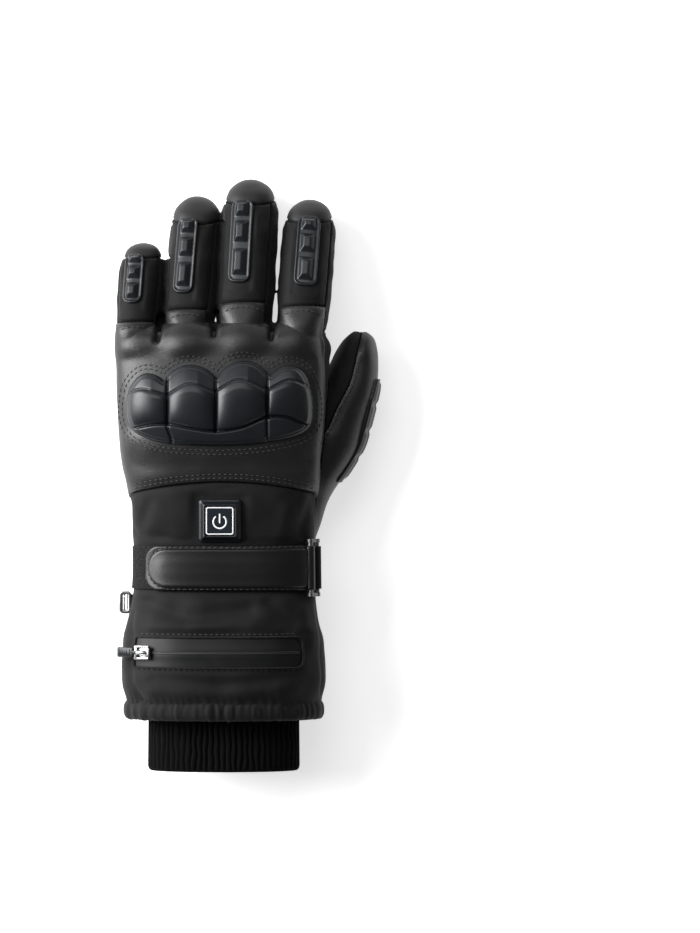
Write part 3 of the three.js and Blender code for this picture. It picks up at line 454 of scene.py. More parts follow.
def thumbSeamField(p):
    along = np.clip((p[:, 1] - thumbStartY) / thumbLength, 0, 1)
    centre, half, low, high = thumbSection(along)
    return p[:, 0] - (centre + seams["thumbSeam"] * half) * handWidth


bm = bmesh.new()
bm.from_mesh(raw)
bmesh.ops.bisect_plane(bm, geom=bm.verts[:] + bm.edges[:] + bm.faces[:], plane_co=(0, skin["hemCut"], 0),
                       plane_no=(0, 1, 0), clear_inner=True)
zeroLayer, pinnedLayer = bm.verts.layers.float.new("zero"), bm.verts.layers.int.new("pinned")
cuts = [
    (thumbField, lambda p: p[:, 0] > 5),
    (cuffField, lambda p: p[:, 1] > 90),
    (leatherField, lambda p: p[:, 2] > 15),
    (capField, lambda p: p[:, 1] > crotchY + 30),
    (gripField, lambda p: p[:, 2] < 30),
    (sideField, lambda p: p[:, 1] > crotchY + 3),
    (thumbSeamField, lambda p: (p[:, 0] > 20) & (p[:, 1] > 112)),
]
for field, mask in cuts:
    cutAlong(bm, zeroLayer, pinnedLayer,
             lambda p: np.where(mask(p), field(p), np.where(field(p) < 0, -9.0, 9.0)))
print("seams cut:", len(bm.verts), "points")

# Each face belongs to one panel, its material index, and the faces along the seams are made finer
panels = ("cuff", "leather", "clothTop", "clothUnder", "cap", "grip", "thumbInner", "thumbOuter")


def panelOf(p):
    thumbSide = thumbSeamField(p) > 0
    return np.select(
        [(thumbField(p) > 0) & thumbSide, thumbField(p) > 0, cuffField(p) < 0, leatherField(p) > 0,
         (p[:, 1] > crotchY + 30) & (capField(p) > 0), gripField(p) > 0, sideField(p) > 0],
        [panels.index(name) for name in (
            "thumbOuter", "thumbInner", "cuff", "leather", "cap", "grip", "clothTop")],
        panels.index("clothUnder"))


for face, label in zip(bm.faces, panelOf(np.array([f.calc_center_median() for f in bm.faces]))):
    face.material_index = int(label)
onSeam = {v for v in bm.verts if len({f.material_index for f in v.link_faces}) > 1}
finer = {e for v in onSeam for f in v.link_faces for e in f.edges}
bmesh.ops.subdivide_edges(bm, edges=list(finer), cuts=1, use_grid_fill=True)
bm.normal_update()
bm.verts.ensure_lookup_table()
bm.verts.index_update()
skinPoints = np.array([v.co for v in bm.verts])
skinNormals = np.array([v.normal for v in bm.verts])
skinFaces = [tuple(v.index for v in f.verts) for f in bm.faces]
skinLabels = np.array([f.material_index for f in bm.faces])
around = [{f.material_index for f in v.link_faces} for v in bm.verts]
bm.free()
vertLabel = np.array([min(a) if a else 0 for a in around])
isPanel = {name: vertLabel == number for number, name in enumerate(panels)}
isThumb = isPanel["thumbInner"] | isPanel["thumbOuter"]
border = np.array([len(a) > 1 for a in around])
print("skin panels:", len(skinPoints), "points", len(skinFaces), "faces")


def seamDistance(chosen, reach=12.0):
    tree = KDTree(int(chosen.sum()))
    for i in np.nonzero(chosen)[0]:
        tree.insert(Vector(skinPoints[i]), int(i))
    tree.balance()
    return np.array([min(tree.find(Vector(p))[2], reach) for p in skinPoints])


def edgeOf(name):
    return seamDistance(np.array([len(a) > 1 and panels.index(name) in a for a in around]))


anySeam = seamDistance(border)
leatherEdge, gripEdge, capEdge = (edgeOf(name) for name in ("leather", "grip", "cap"))

# Where trims are sewn or bonded on, the skin under them is kept calm
relief = {
    "puff": 1.1, "puffReach": 5, "groove": 1.0, "grooveWidth": 0.62, "leather": 1.25, "leatherRound": 1.5,
    "grip": 0.5, "cap": 0.05, "gatherDepth": 1.7, "gatherPitch": 5.6, "drape": 1.1, "hemPucker": 0.5,
    "knuckle": 1.3, "knucklePitch": 31.6, "capTaper": 0.65, "sidePuff": 0.6, "thumbGroove": 0.4,
    "fingerGroove": 1.5, "drapePitch": 15, "hemPitch": 4.6,
}
# Creases on the back: depth, width, and the points (x, y) they run through; a negative depth is a ridge
creases = [
    (4.6, 1.5, [(-34.6, 254), (-36.3, 240)]), (4.6, 1.5, [(-4.2, 256), (-5, 243)]),
    (4.6, 1.5, [(29, 256), (27, 241)]),
    (1.1, 0.9, [(50.5, 93), (53.6, 73), (54.6, 52), (53.8, 40)]),
    (0.8, 1.6, [(-49.5, 88), (-51, 68), (-49.5, 50), (-44, 41)]),
    (1.5, 4.5, [(-44, 95), (-20, 86), (14, 90)]), (-1.2, 5, [(-36, 81), (0, 80), (24, 87)]),
    (1.5, 4.5, [(26, 94), (37, 82), (38, 66)]), (-1.0, 4, [(44, 90), (47, 72)]),
    (1.3, 4, [(-36, 53), (0, 49.5), (40, 54)]), (-1.0, 4, [(-38, 45), (10, 44.5), (30, 47)]),
    (1.3, 3.6, [(-53, 134), (-32, 129), (-20, 126)]), (1.4, 3.6, [(50, 152), (44, 136), (42, 122)]),
    (-1.0, 4, [(36, 148), (32, 128)]), (0.9, 6, [(-48, 172), (0, 169), (46, 173)]),
    (1.0, 3.5, [(-40, 150), (-44, 138)]),
]


def boxMask(x, y, cx, cy, halfX, halfY, edge=5):
    return ((1 - smooth(np.abs(x - cx) - halfX, 0, edge)) * (1 - smooth(np.abs(y - cy) - halfY, 0, edge)))


x, y, z = skinPoints.T
upper = smooth(skinNormals[:, 2], -0.1, 0.3)
covered = boxMask(x, y, 0, strapY, 70, 13.5) + boxMask(x, y, zipX, zipY, 47, 9)
covered = covered + boxMask(x, y, buttonX, buttonY, 12.5, 12.5) + boxMask(x, y, -3, 211, 48, 18, 8)
for finger in fingers:
    fingerX = fingerCentre(finger, y)[0]
    mid = crotchY + (finger["guardFrom"] + finger["guardTo"]) / 2
    reach = (finger["guardTo"] - finger["guardFrom"]) / 2
    offside = -finger["width"] / 2 * roundSin(math.radians(finger["roll"]), fingerSquare)
    covered = covered + boxMask(x, y, fingerX + offside, mid, finger["guardWidth"] / 2, reach, 2)
under = boxMask(x, y, -18, 150, 20, 24) * (1 - upper)
calm = 1 - np.clip(covered, 0, 1) * upper - under

height = relief["puff"] * (1 - np.exp(-(anySeam / relief["puffReach"]) ** 2)) * (0.25 + 0.75 * calm)
height = height * np.where(isPanel["cap"], 1 - relief["capTaper"] * smooth(capEdge, 2.5, 12), 1)
height = height * np.where(isPanel["clothUnder"] & (y > crotchY), relief["sidePuff"], 1)
seamDepth = relief["groove"] * np.where(isThumb, relief["thumbGroove"], 1)
seamDepth = seamDepth * np.where(y > crotchY + 5, relief["fingerGroove"], 1)
height = height - seamDepth * np.exp(-(anySeam / relief["grooveWidth"]) ** 2)
edgeRise = np.sqrt(1 - (1 - np.clip(leatherEdge / relief["leatherRound"], 0, 1)) ** 2)
panelRises = {"leather": edgeRise, "grip": smooth(gripEdge, 0, 1.2), "cap": smooth(capEdge, 0, 1.5)}
for name, rise in panelRises.items():
    height = height + np.where(isPanel[name] & ~border, relief[name] * rise, 0)

# Folds: long soft ones over the cuff, short creases across the fingers, fine ones in the leather
stretch = np.array([1, 0.45, 1])
cuffFolds = 1.5 * grain(skinPoints * stretch, 21, 1) + 0.6 * grain(skinPoints, 12, 2)
fingerFolds = 0.75 * grain(skinPoints * [0.6, 1.6, 1], 17, 3) + 0.3 * grain(skinPoints, 7, 4)
leatherFolds = 0.5 * grain(skinPoints, 26, 5) + 0.2 * grain(skinPoints * [0.7, 1.3, 1], 9, 6)
thumbFolds = 1.2 * grain(skinPoints, 28, 7) + 0.3 * leatherFolds
folds = np.select([isPanel["cuff"], isPanel["leather"], isThumb, isPanel["cap"], isPanel["grip"]],
                  [cuffFolds, leatherFolds, thumbFolds, 0.3 * fingerFolds, 0.5 * fingerFolds], fingerFolds)
height = height + folds * np.clip(calm, 0, 1) * smooth(anySeam, 0, 4)

# The elastic wrist gathers the palm side, and folds run down from it over the cuff
below = 1 - upper
wobble = 2.2 * grain(skinPoints * [1, 0.3, 0], 14, 8)
pleatBand = smooth(y, wristY - 20, wristY - 11) * (1 - smooth(y, wristY - 5, wristY + 1.5))
acrossPalm = smooth(x, -44, -22) * below
pleat = np.cos(2 * math.pi * (x + wobble) / relief["gatherPitch"])
height = height + relief["gatherDepth"] * pleatBand * acrossPalm * (pleat - 0.5) * 0.7
fan = (x - 6) * (1 - 0.35 * smooth(wristY - 10 - y, 0, 50))
drape = np.cos(2 * math.pi * (fan + 3 * wobble) / relief["drapePitch"])
drape = drape * smooth(y, 50, 92) * (1 - smooth(y, wristY - 12, wristY - 3))
height = height + relief["drape"] * drape * acrossPalm * 0.8
pucker = np.cos(2 * math.pi * (x + 0.8 * z + 1.6 * wobble) / relief["hemPitch"])
pucker = pucker * np.exp(-np.maximum(y - cuffStartY, 0) / 3.4)
height = height + relief["hemPucker"] * 0.5 * pucker
height = height - 0.7 * boxMask(x, y, 0, strapY, 90, 10, 4) * upper


onBackSide = smooth(skinNormals[:, 2], 0.05, 0.4)
for deep, wide, path in creases:
    away = pathDistance(x + 0.6 * wobble * min(wide / 5, 1), y, path, path[1:])
    strength = np.clip(calm, 0, 1) if wide > 2 else 1
    height = height - deep * np.exp(-(away / wide) ** 2) * onBackSide * strength
knuckles = -np.cos(2 * math.pi * (x + 5) / relief["knucklePitch"])
knuckles = knuckles * smooth(y, 227, 236) * (1 - smooth(y, 246, 256))
height = height + relief["knuckle"] * knuckles * onBackSide * smooth(anySeam, 0, 4)

skinPoints = skinPoints + skinNormals * height[:, None]
skinPoints[:, 2] = np.maximum(skinPoints[:, 2], 0.03)
print("skin shaped")


# Finishes: Shade wraps a socket, so that shader maths reads as plain expressions
class Shade:
    def __init__(self, tree, socket=None):
        self.tree, self.socket = tree, socket

    def node(self, kind, settings=None, values=None, output=0):
        made = self.tree.nodes.new(kind)
        for key, value in (settings or {}).items():
            setattr(made, key, value)
        for key, value in (values or {}).items():
            if isinstance(value, Shade):
                self.tree.links.new(value.socket, made.inputs[key])
            else:
                made.inputs[key].default_value = value
        return Shade(self.tree, made.outputs[output])

    def maths(self, operation, *values, clamp=False):
        settings = {"operation": operation, "use_clamp": clamp}
        return self.node("ShaderNodeMath", settings, dict(enumerate(values)))

    def __add__(self, other):
        return self.maths("ADD", self, other)

    def __sub__(self, other):
        return self.maths("SUBTRACT", self, other)

    def __rsub__(self, other):
        return self.maths("SUBTRACT", other, self)

    def __mul__(self, other):
        return self.maths("MULTIPLY", self, other)

    def __truediv__(self, other):
        return self.maths("DIVIDE", self, other)

    def __pow__(self, other):
        return self.maths("POWER", self, other)

    __radd__, __rmul__ = __add__, __mul__

    def step(self, low, high):
        settings = {"interpolation_type": "SMOOTHSTEP"}
        return self.node("ShaderNodeMapRange", settings, {0: self, 1: low, 2: high})

    def scaled(self, factors):
        return self.node("ShaderNodeVectorMath", {"operation": "MULTIPLY"}, {0: self, 1: factors})

    def noise(self, scale, detail=3.0, rough=0.5):
        return self.node("ShaderNodeTexNoise", None, {"Vector": self, "Scale": scale, "Detail": detail,
                                                      "Roughness": rough})

    def cells(self, scale, feature="F1", output=0, rand=1.0):
        return self.node("ShaderNodeTexVoronoi", {"feature": feature},
                         {"Vector": self, "Scale": scale, "Randomness": rand}, output)

    def parts(self):
        made = self.tree.nodes.new("ShaderNodeSeparateXYZ")
        self.tree.links.new(self.socket, made.inputs[0])
        return [Shade(self.tree, made.outputs[k]) for k in range(3)]

    def mix(self, dark, light):
        return self.node("ShaderNodeMix", {"data_type": "RGBA"}, {0: self, 6: dark, 7: light}, 2)


def grey(level, tint=(1, 1, 1)):
    return tuple(level * t for t in tint) + (1,)


fixedSockets = {
    "sheen": "Sheen Weight", "sheenRough": "Sheen Roughness", "coat": "Coat Weight",
    "coatRough": "Coat Roughness", "metal": "Metallic", "specular": "Specular IOR Level",
    "glow": "Emission Strength",
}


# A finish is its shader's fixed values, and a function from place to colour, roughness and bump height
def finish(name, look, **fixed):
    material = bpy.data.materials.new(name)
    material.use_nodes = True
    tree = material.node_tree
    shader = next(n for n in tree.nodes if n.type == "BSDF_PRINCIPLED")
    for key, value in fixed.items():
        shader.inputs[fixedSockets[key]].default_value = value
    place = Shade(tree).node("ShaderNodeTexCoord", output=3)
    result = look(place)
    for key, socket in (("colour", "Base Color"), ("rough", "Roughness")):
        value = result[key]
        if isinstance(value, Shade):
            tree.links.new(value.socket, shader.inputs[socket])
        else:
            shader.inputs[socket].default_value = value
    if "bump" in result:
        bump = place.node("ShaderNodeBump", None, {"Height": result["bump"], "Strength": result["strength"],
                                                   "Distance": result["deep"]})
        tree.links.new(bump.socket, shader.inputs["Normal"])
    return material


# A fine weave from two sets of crossing threads, pitch metres apart
def weaveHeight(place, pitch):
    a, b, c = place.parts()
    k = 2 * math.pi / pitch
    warp = ((a + c * 0.6) * k).maths("SINE", (a + c * 0.6) * k)
    weft = ((b + c * 0.5) * k).maths("SINE", (b + c * 0.5) * k)
    return warp * weft * 0.5 + 0.5


softshellLook = {"dark": 0.0026, "light": 0.0095, "pitch": 0.0011, "rough": 0.72}
leatherLook = {"dark": 0.0045, "light": 0.0145, "pebble": 1150, "rough": 0.38, "grain": 0.24}
strapLook = {"dark": 0.0025, "light": 0.007, "pebble": 1300, "rough": 0.34, "grain": 0.1}
rubberLook = {"dark": (0.0035, 0.0045, 0.0058), "light": (0.0075, 0.0096, 0.0124), "rough": 0.36}


def softshellFinish(place):
    patches = place.noise(38, 4)
    fibre = place.noise(2300, 2)
    weave = weaveHeight(place, softshellLook["pitch"])
    colour = (patches * 0.7 + fibre * 0.3).step(0.3, 0.72).mix(
        grey(softshellLook["dark"]), grey(softshellLook["light"], (1, 0.99, 0.97)))
    return {"colour": colour, "rough": patches * 0.2 + (softshellLook["rough"] - 0.1),
            "bump": weave * 0.6 + fibre * 0.6, "strength": 0.35, "deep": 0.00022}


def leatherFinish(look):
    def made(place):
        bent = place.noise(300, 3)
        pebble = place.cells(look["pebble"], "DISTANCE_TO_EDGE")
        lines = place.noise(90, 5, 0.6)
        wear = place.noise(26, 4)
        tones = grey(look["dark"]), grey(look["light"], (1, 1, 1.04))
        colour = (pebble.step(0, 0.3) * 0.2 + wear * 0.8).mix(*tones)
        rough = wear * 0.18 + (look["rough"] - 0.1) + (1 - pebble.step(0, 0.25)) * 0.06
        return {"colour": colour, "rough": rough,
                "bump": pebble.step(0.0, 0.35) * 0.8 + bent * 0.6 + lines * 0.6, "strength": look["grain"],
                "deep": 0.00028}
    return made


def rubberFinish(place):
    fine = place.noise(3200, 2)
    broad = place.noise(60, 3)
    colour = (broad * 0.7 + fine * 0.3).mix((*rubberLook["dark"], 1), (*rubberLook["light"], 1))
    return {"colour": colour, "rough": broad * 0.14 + fine * 0.08 + (rubberLook["rough"] - 0.1),
            "bump": fine * 0.6 + broad * 0.3, "strength": 0.12, "deep": 0.0001}


def capFinish(place):
    fibre = place.noise(1900, 3)
    broad = place.noise(70, 3)
    return {"colour": (fibre * 0.4 + broad * 0.6).mix(grey(0.005), grey(0.013)), "rough": broad * 0.12 + 0.5,
            "bump": fibre, "strength": 0.25, "deep": 0.00015}


# Honeycomb lines printed on the palm: hexCell is the width of a cell across its flats
gripLook = {"hexCell": 0.0047, "line": 0.085, "base": 0.007, "print": 0.05}


def gripFinish(place):
    a, b, c = place.parts()
    cell = gripLook["hexCell"]
    tall = cell * math.sqrt(3)

    def fold(value, size):
        return ((value / size).maths("FRACT", value / size) - 0.5) * size

    def hexDistance(u, v):
        u, v = fold(u, cell).maths("ABSOLUTE", fold(u, cell)), fold(v, tall).maths("ABSOLUTE", fold(v, tall))
        slanted = u * 0.5 + v * (math.sqrt(3) / 2)
        return u.maths("MAXIMUM", u, slanted)
    near = hexDistance(a, b)
    far = hexDistance(a + cell / 2, b + tall / 2)
    line = near.maths("MINIMUM", near, far) / (cell / 2)
    edge = line.step(1 - 2 * gripLook["line"], 1 - gripLook["line"])
    worn = place.noise(160, 4, 0.65).step(0.36, 0.6)
    speck = place.noise(900, 2).step(0.35, 0.6)
    fibre = place.noise(2300, 2)
    mark = edge * (worn * 0.75 + 0.25) * (speck * 0.6 + 0.4)
    base = fibre.mix(grey(gripLook["base"] * 0.7), grey(gripLook["base"] * 1.3))
    return {"colour": mark.mix(base, grey(gripLook["print"], (1, 0.94, 0.86))), "rough": 0.74 - mark * 0.25,
            "bump": edge * 1.4 + fibre * 0.4, "strength": 0.5, "deep": 0.0003}


softshell = finish("softshellCloth", softshellFinish, sheen=0.05, sheenRough=0.5, specular=0.16)
leather = finish("pebbledLeather", leatherFinish(leatherLook), specular=0.42, coat=0.03, coatRough=0.4)
strapLeather = finish("smoothLeather", leatherFinish(strapLook), specular=0.35)
rubber = finish("guardRubber", rubberFinish, specular=0.4)
capCloth = finish("tipCloth", capFinish, sheen=0.05, sheenRough=0.5, specular=0.3)
gripCloth = finish("gripCloth", gripFinish, sheen=0.04, sheenRough=0.5, specular=0.2)
print("finishes made")


def panelPiece(name, chosenPanels, material, slot, nodes):
    labels = [panels.index(panel) for panel in chosenPanels]
    chosen = [face for face, label in zip(skinFaces, skinLabels) if label in labels]
    used = np.unique([i for face in chosen for i in face])
    place = {int(old): new for new, old in enumerate(used)}
    return addPiece(name, skinPoints[used], [tuple(place[i] for i in face) for face in chosen],
                    material, slot, nodes, fix=False)


panelPiece("cuff_cloth", ["cuff"], softshell, "softshell", ["gauntlet"])
panelPiece("back_leather", ["leather"], leather, "leather", ["back_panel"])
panelPiece("hand_and_finger_cloth", ["clothTop", "clothUnder"], softshell, "softshell",
           ["hand_body"] + ["finger_" + f["name"] for f in fingers])
panelPiece("fingertip_caps", ["cap"], capCloth, "tip_cloth", ["tip_cap_" + f["name"] for f in fingers])
panelPiece("palm_grip", ["grip"], gripCloth, "grip_cloth", ["grip_panel"])
panelPiece("thumb_shell", ["thumbOuter"], leather, "leather", ["thumb_stall"])
panelPiece("thumb_inner_panel", ["thumbInner"], softshell, "softshell", [])
skinTree = BVHTree.FromPolygons([Vector(p) for p in skinPoints], skinFaces)
print("skin pieces made")


# Trims are plates: a grid in flat (u, v) millimetres, cut to an outline and laid on the glove. outline(u, v) is
# the distance inside the edge, rise(u, v, inside) the height, and lay(u, v, height) puts it on the glove.
def plate(outline, rise, lay, area, step=0.5, grooves=(), skirt=2.5):
    u = np.arange(area[0], area[1] + step, step)
    v = np.arange(area[2], area[3] + step, step)
    grid = bmesh.new()
    rows = [[grid.verts.new((a, b, 0)) for a in u] for b in v]
    for j in range(len(v) - 1):
        for i in range(len(u) - 1):
            grid.faces.new((rows[j][i], rows[j][i + 1], rows[j + 1][i + 1], rows[j + 1][i]))
    zero, pinned = grid.verts.layers.float.new("zero"), grid.verts.layers.int.new("pinned")
    for field in (outline, *grooves):
        cutAlong(grid, zero, pinned, lambda p: field(p[:, 0], p[:, 1]))
    centres = np.array([f.calc_center_median() for f in grid.faces])
    keep = outline(centres[:, 0], centres[:, 1]) > 0
    bmesh.ops.delete(grid, geom=[f for f, k in zip(grid.faces, keep) if not k], context="FACES")
    bmesh.ops.delete(grid, geom=[w for w in grid.verts if not w.link_faces], context="VERTS")
    grid.verts.index_update()
    flat = np.array([w.co for w in grid.verts])
    faces = [tuple(w.index for w in f.verts) for f in grid.faces]
    rim = [tuple(w.index for w in e.verts) for e in grid.edges if len(e.link_faces) == 1]
    grid.free()
    inside = outline(flat[:, 0], flat[:, 1])
    top = lay(flat[:, 0], flat[:, 1], rise(flat[:, 0], flat[:, 1], inside))
    ends = sorted({i for edge in rim for i in edge})
    order = {old: len(top) + new for new, old in enumerate(ends)}
    foot = lay(flat[ends, 0], flat[ends, 1], np.full(len(ends), -skirt))
    faces += [(b, a, order[a], order[b]) for a, b in rim]
    return np.concatenate([top, foot]), faces


def cornersCut(points, rounds=3):
    loop = np.array(points, float)
    for _ in range(rounds):
        after = np.roll(loop, -1, 0)
        loop = np.stack([0.75 * loop + 0.25 * after, 0.25 * loop + 0.75 * after], 1).reshape(-1, 2)
    return loop


# Distance inside a closed loop of points, negative outside it
def insideLoop(loop, u, v):
    after = np.roll(loop, -1, 0)
    odd = np.zeros(len(u), bool)
    for (ax, ay), (bx, by) in zip(loop, after):
        if abs(by - ay) > 1e-9:
            odd ^= ((ay > v) != (by > v)) & (u < (bx - ax) * (v - ay) / (by - ay) + ax)
    away = pathDistance(u, v, loop, after)
    return np.where(odd, away, -away)


def roundBox(u, v, halfU, halfV, radius):
    a, b = np.abs(u) - halfU + radius, np.abs(v) - halfV + radius
    return radius - np.hypot(np.maximum(a, 0), np.maximum(b, 0)) - np.minimum(np.maximum(a, b), 0)


def rounding(inside, radius):
    return np.sqrt(1 - (1 - np.clip(inside / radius, 0, 1)) ** 2)


def ditch(distance, width):
    return np.exp(-(distance / width) ** 2)


# Wraps flat places round the cuff: u is the way round from the middle of its back, v is y
def wrapper(y0, base):
    turn = np.linspace(math.pi + 0.9, -0.9, 900)
    line = bodySurface(y0, turn, base)
    far = np.concatenate([[0], np.cumsum(np.linalg.norm(np.diff(line, axis=0), axis=1))])
    back = slice(190, 710)  # the stretch where x grows all the way
    far -= np.interp(0, line[back, 0], far[back])

    def lay(u, v, height):
        return bodySurface(v, np.interp(u, far, turn), base + height)
    lay.place = lambda x: float(np.interp(x, line[back, 0], far[back]))
    lay.at = lambda angle: float(np.interp(-angle, -turn, far))
    return lay


# Knuckle guard: four domes over a lower band, x and y in millimetres
guard = {
    "edge": [(-53.3, 207), (-51.5, 215), (-44.7, 222), (-37, 221.2), (-32.4, 217.6), (-32.2, 217.6), (-27, 223.7),
             (-18.9, 227), (-9, 224.7), (-3, 218.8), (-2.8, 218.8), (2, 225.7), (11, 229.2), (20, 227),
             (26.3, 220.4), (26.5, 220.4), (31.5, 225.2), (39.9, 226.4), (46.5, 221.7), (49.6, 212), (50.8, 202),
             (49.8, 193), (44.2, 187.2), (23.9, 182.6), (0.3, 180.9), (-27.6, 182), (-40.2, 184.4), (-50.6, 189.6),
             (-53.8, 198.5)],
    "domes": [(-42, 12.2, .86), (-16.8, 13.6, 1), (10.8, 14.4, 1), (37.6, 13, .88)],
    "splits": (-30.2, -3.4, 25), "splitRunsDown": (True, False, True),
    "lowGroove": [(-56, 189.5), (-49.2, 191), (-37.4, 193.2), (-29.6, 193.2), (-17, 191), (-4.9, 189.3), (11, 191.5),
                  (23.9, 196.6), (33.7, 197.4), (43.2, 194.3), (53, 190)],
    "highGroove": [[(-54, 209.6), (-45.8, 212.4), (-31.8, 209.4)], [(-29, 210), (-17.8, 215.5), (-5, 211.5)],
                   [(-2.5, 212), (9.1, 217.6), (23.5, 213)], [(26, 212.5), (37.6, 217.5), (50, 213)]],
    "rim": 1.6, "seat": 1.6,
}
guardLoop = cornersCut(guard["edge"], 2)


def guardInside(u, v):
    return insideLoop(guardLoop, u, v)


def domeOf(u):
    return np.searchsorted(guard["splits"], u)


def lowGroove(u):
    xs, ys = zip(*guard["lowGroove"])
    return curveThrough(xs, ys, u)


def highGroove(u):
    which, value = domeOf(u), np.zeros(len(u))
    for i, points in enumerate(guard["highGroove"]):
        xs, ys = zip(*points)
        here = which == i
        value[here] = curveThrough(xs, ys, u[here])
    return value


def guardRise(u, v, inside):
    which = domeOf(u)
    centre, half, strong = np.array(guard["domes"]).T
    across = np.clip(np.abs(u - centre[which]) / half[which], 0, 1)
    side = (u - centre[which]) / half[which]
    pillow = (1 - across ** 2.4) ** 0.5
    low, high = lowGroove(u), highGroove(u)
    top = high + 11
    facet = 1 - 0.62 * np.maximum((side - 0.25) / 0.75, (0.25 - side) / 1.25)
    climb = (v - low) / (high - low)
    body = (0.42 + 0.58 * np.sqrt(np.clip(1 - (1 - np.clip(climb, 0, 1) / 0.72) ** 2, 0, 1)) * (climb < 0.72)
            + 0.58 * (climb >= 0.72)) * (1 - 0.1 * smooth(climb, 0.8, 1))
    body = body * (0.3 + 0.7 * pillow)
    fall = np.clip((v - high) / (top - high), 0, 1)
    crown = (0.72 - 0.46 * fall) * (0.35 + 0.65 * facet)
    dome = (body + (crown - body) * smooth(v - high, -0.5, 0.5)) * strong[which] * glove["guardRise"]
    share = np.clip((v - 180) / np.maximum(low - 180, 1), 0, 1)
    band = 1.1 + 2.9 * share ** 0.8
    height = guard["rim"] + band + (dome - band) * smooth(v - low, -0.5, 0.5)
    height = height - 1.5 * ditch(v - low, 0.8) * smooth(inside, 1.2, 2.6)
    height = height - 1.2 * ditch(v - high, 0.65) * smooth(v - low, 0, 2)
    for x, runs in zip(guard["splits"], guard["splitRunsDown"]):
        slant = x + (2.5 if x < -20 else 0) * smooth(lowGroove(np.array([x]))[0] - v, 0, 10)
        height = height - 1.3 * ditch(u - slant, 0.75) * (1 if runs else smooth(v - low, -1.5, 0))
    height = height * (0.25 + 0.75 * rounding(inside, 3.2)) - 0.45 * ditch(inside - 1.9, 0.45)
    return np.maximum(height, 0.5)


def laidOn(side, base):
    def lay(u, v, height):
        return np.stack([u, v, bodyHeight(u, v, base, side) + side * height], -1)
    return lay


guardPlate = plate(guardInside, guardRise, laidOn(1, guard["seat"]), (-56, 53, 178, 232), 0.4,
                   [lambda u, v: v - lowGroove(u), lambda u, v: v - highGroove(u),
                    *[lambda u, v, split=split: u - split for split in guard["splits"]]], 4)
addPiece("knuckle_guard_shell", *guardPlate, rubber, "guard_rubber", ["knuckle_guard"])
print("knuckle guard made")

# Finger guards: a strip with a raised rim and three faceted gems
gem = {
    "rows": [(0.09, 0.4), (0.48, 0.73), (0.79, 0.965)], "half": 0.62, "rise": 2.2, "base": 0.95, "sink": 0.5,
    "rimRise": 0.2, "facetEnd": 3.6, "top": 0.36, "seat": 0.45, "corner": 4.4,
}


def gemHeight(u, v, halfWidth, length):
    peak = np.zeros(len(u))
    for start, end in gem["rows"]:
        near, far = (v - start * length) / gem["facetEnd"], (end * length - v) / gem["facetEnd"]
        left, right = (u + halfWidth) / (halfWidth * 0.85), (halfWidth - u) / (halfWidth * 1.15)
        peak = np.maximum(peak, np.minimum(np.minimum(near, far), np.minimum(left, right)))
    return np.clip(peak, 0, 1 - gem["top"]) / (1 - gem["top"]) * gem["rise"]


def fingerGuardPlate(finger):
    length, half = finger["guardTo"] - finger["guardFrom"], finger["guardWidth"] / 2
    offside = -finger["width"] / 2 * roundSin(math.radians(finger["roll"]), fingerSquare)

    def inside(u, v):
        return roundBox(u, v - length / 2, half, length / 2, gem["corner"])

    def rise(u, v, edge):
        rim = gem["rimRise"] * ditch(edge - 0.8, 0.45)
        return (gem["base"] * rounding(edge, 0.7) - gem["sink"] * smooth(edge, 1.1, 1.6) + rim
                + gemHeight(u, v, half * gem["half"], length))

    def lay(u, v, height):
        y = crotchY + finger["guardFrom"] + v
        dome = fingerDome * finger["width"]
        left = np.clip((crotchY + finger["length"] - y) / dome, 0, 1)
        full = np.sqrt(1 - (1 - left) ** 2)
        share = np.clip((offside + u) / (finger["width"] / 2) / full, -0.99, 0.99)
        turn = np.arccos(np.sign(share) * np.abs(share) ** (fingerSquare / 2))
        return fingerSurface(finger, y, turn, gem["seat"] + height, full)
    return plate(inside, rise, lay, (-half - 1, half + 1, -1, length + 1), 0.4,
                 [lambda u, v: u + 0.15 * gem["half"] * half], 2)


for finger in fingers:
    addPiece("guard_strip_" + finger["name"], *fingerGuardPlate(finger), rubber, "guard_rubber",
             ["finger_guard_" + finger["name"]])

# Thumb guard: a ridged strip along the thumb's outer side
thumbGuard = {
    "start": 0.36, "end": 0.8, "half": 7.2, "tilt": 8, "ridges": 4, "base": 1.6, "rise": 0.9, "ridge": 0.9,
    "seat": 0.7,
}
stripLength = (thumbGuard["end"] - thumbGuard["start"]) * thumbLength


def thumbGuardRise(u, v, edge):
    size = stripLength / thumbGuard["ridges"]
    local = np.mod(v, size) / size
    blocks = np.clip(np.minimum(local, 1 - local) / 0.16, 0, 1) * np.clip((4.8 - np.abs(u)) / 2.2, 0, 1)
    return (thumbGuard["base"] * rounding(edge, 0.8) + 0.45 * ditch(edge - 0.8, 0.45)
            - 0.3 * smooth(edge, 1.1, 1.6) + thumbGuard["rise"] * blocks
            + thumbGuard["ridge"] * ditch(u + 2.4, 0.9) * smooth(edge, 2, 4))


def onThumb(u, v, height):
    along = thumbGuard["start"] + v / thumbLength
    centre, half, low, high = thumbSection(along)
    radius = np.sqrt(half * handWidth * (high - low) * thumbDepth / 2)
    return thumbSurface(along, math.radians(thumbGuard["tilt"]) + u / radius, thumbGuard["seat"] + height)


addPiece("thumb_guard_strip", *plate(
    lambda u, v: roundBox(u, v - stripLength / 2,
                          thumbGuard["half"] * (0.75 + 0.25 * smooth(stripLength - v, 0, 14)), stripLength / 2, 3),
    thumbGuardRise, onThumb, (-8.5, 8.5, -1, stripLength + 1), 0.5),
    rubber, "guard_rubber", ["thumb_guard"])

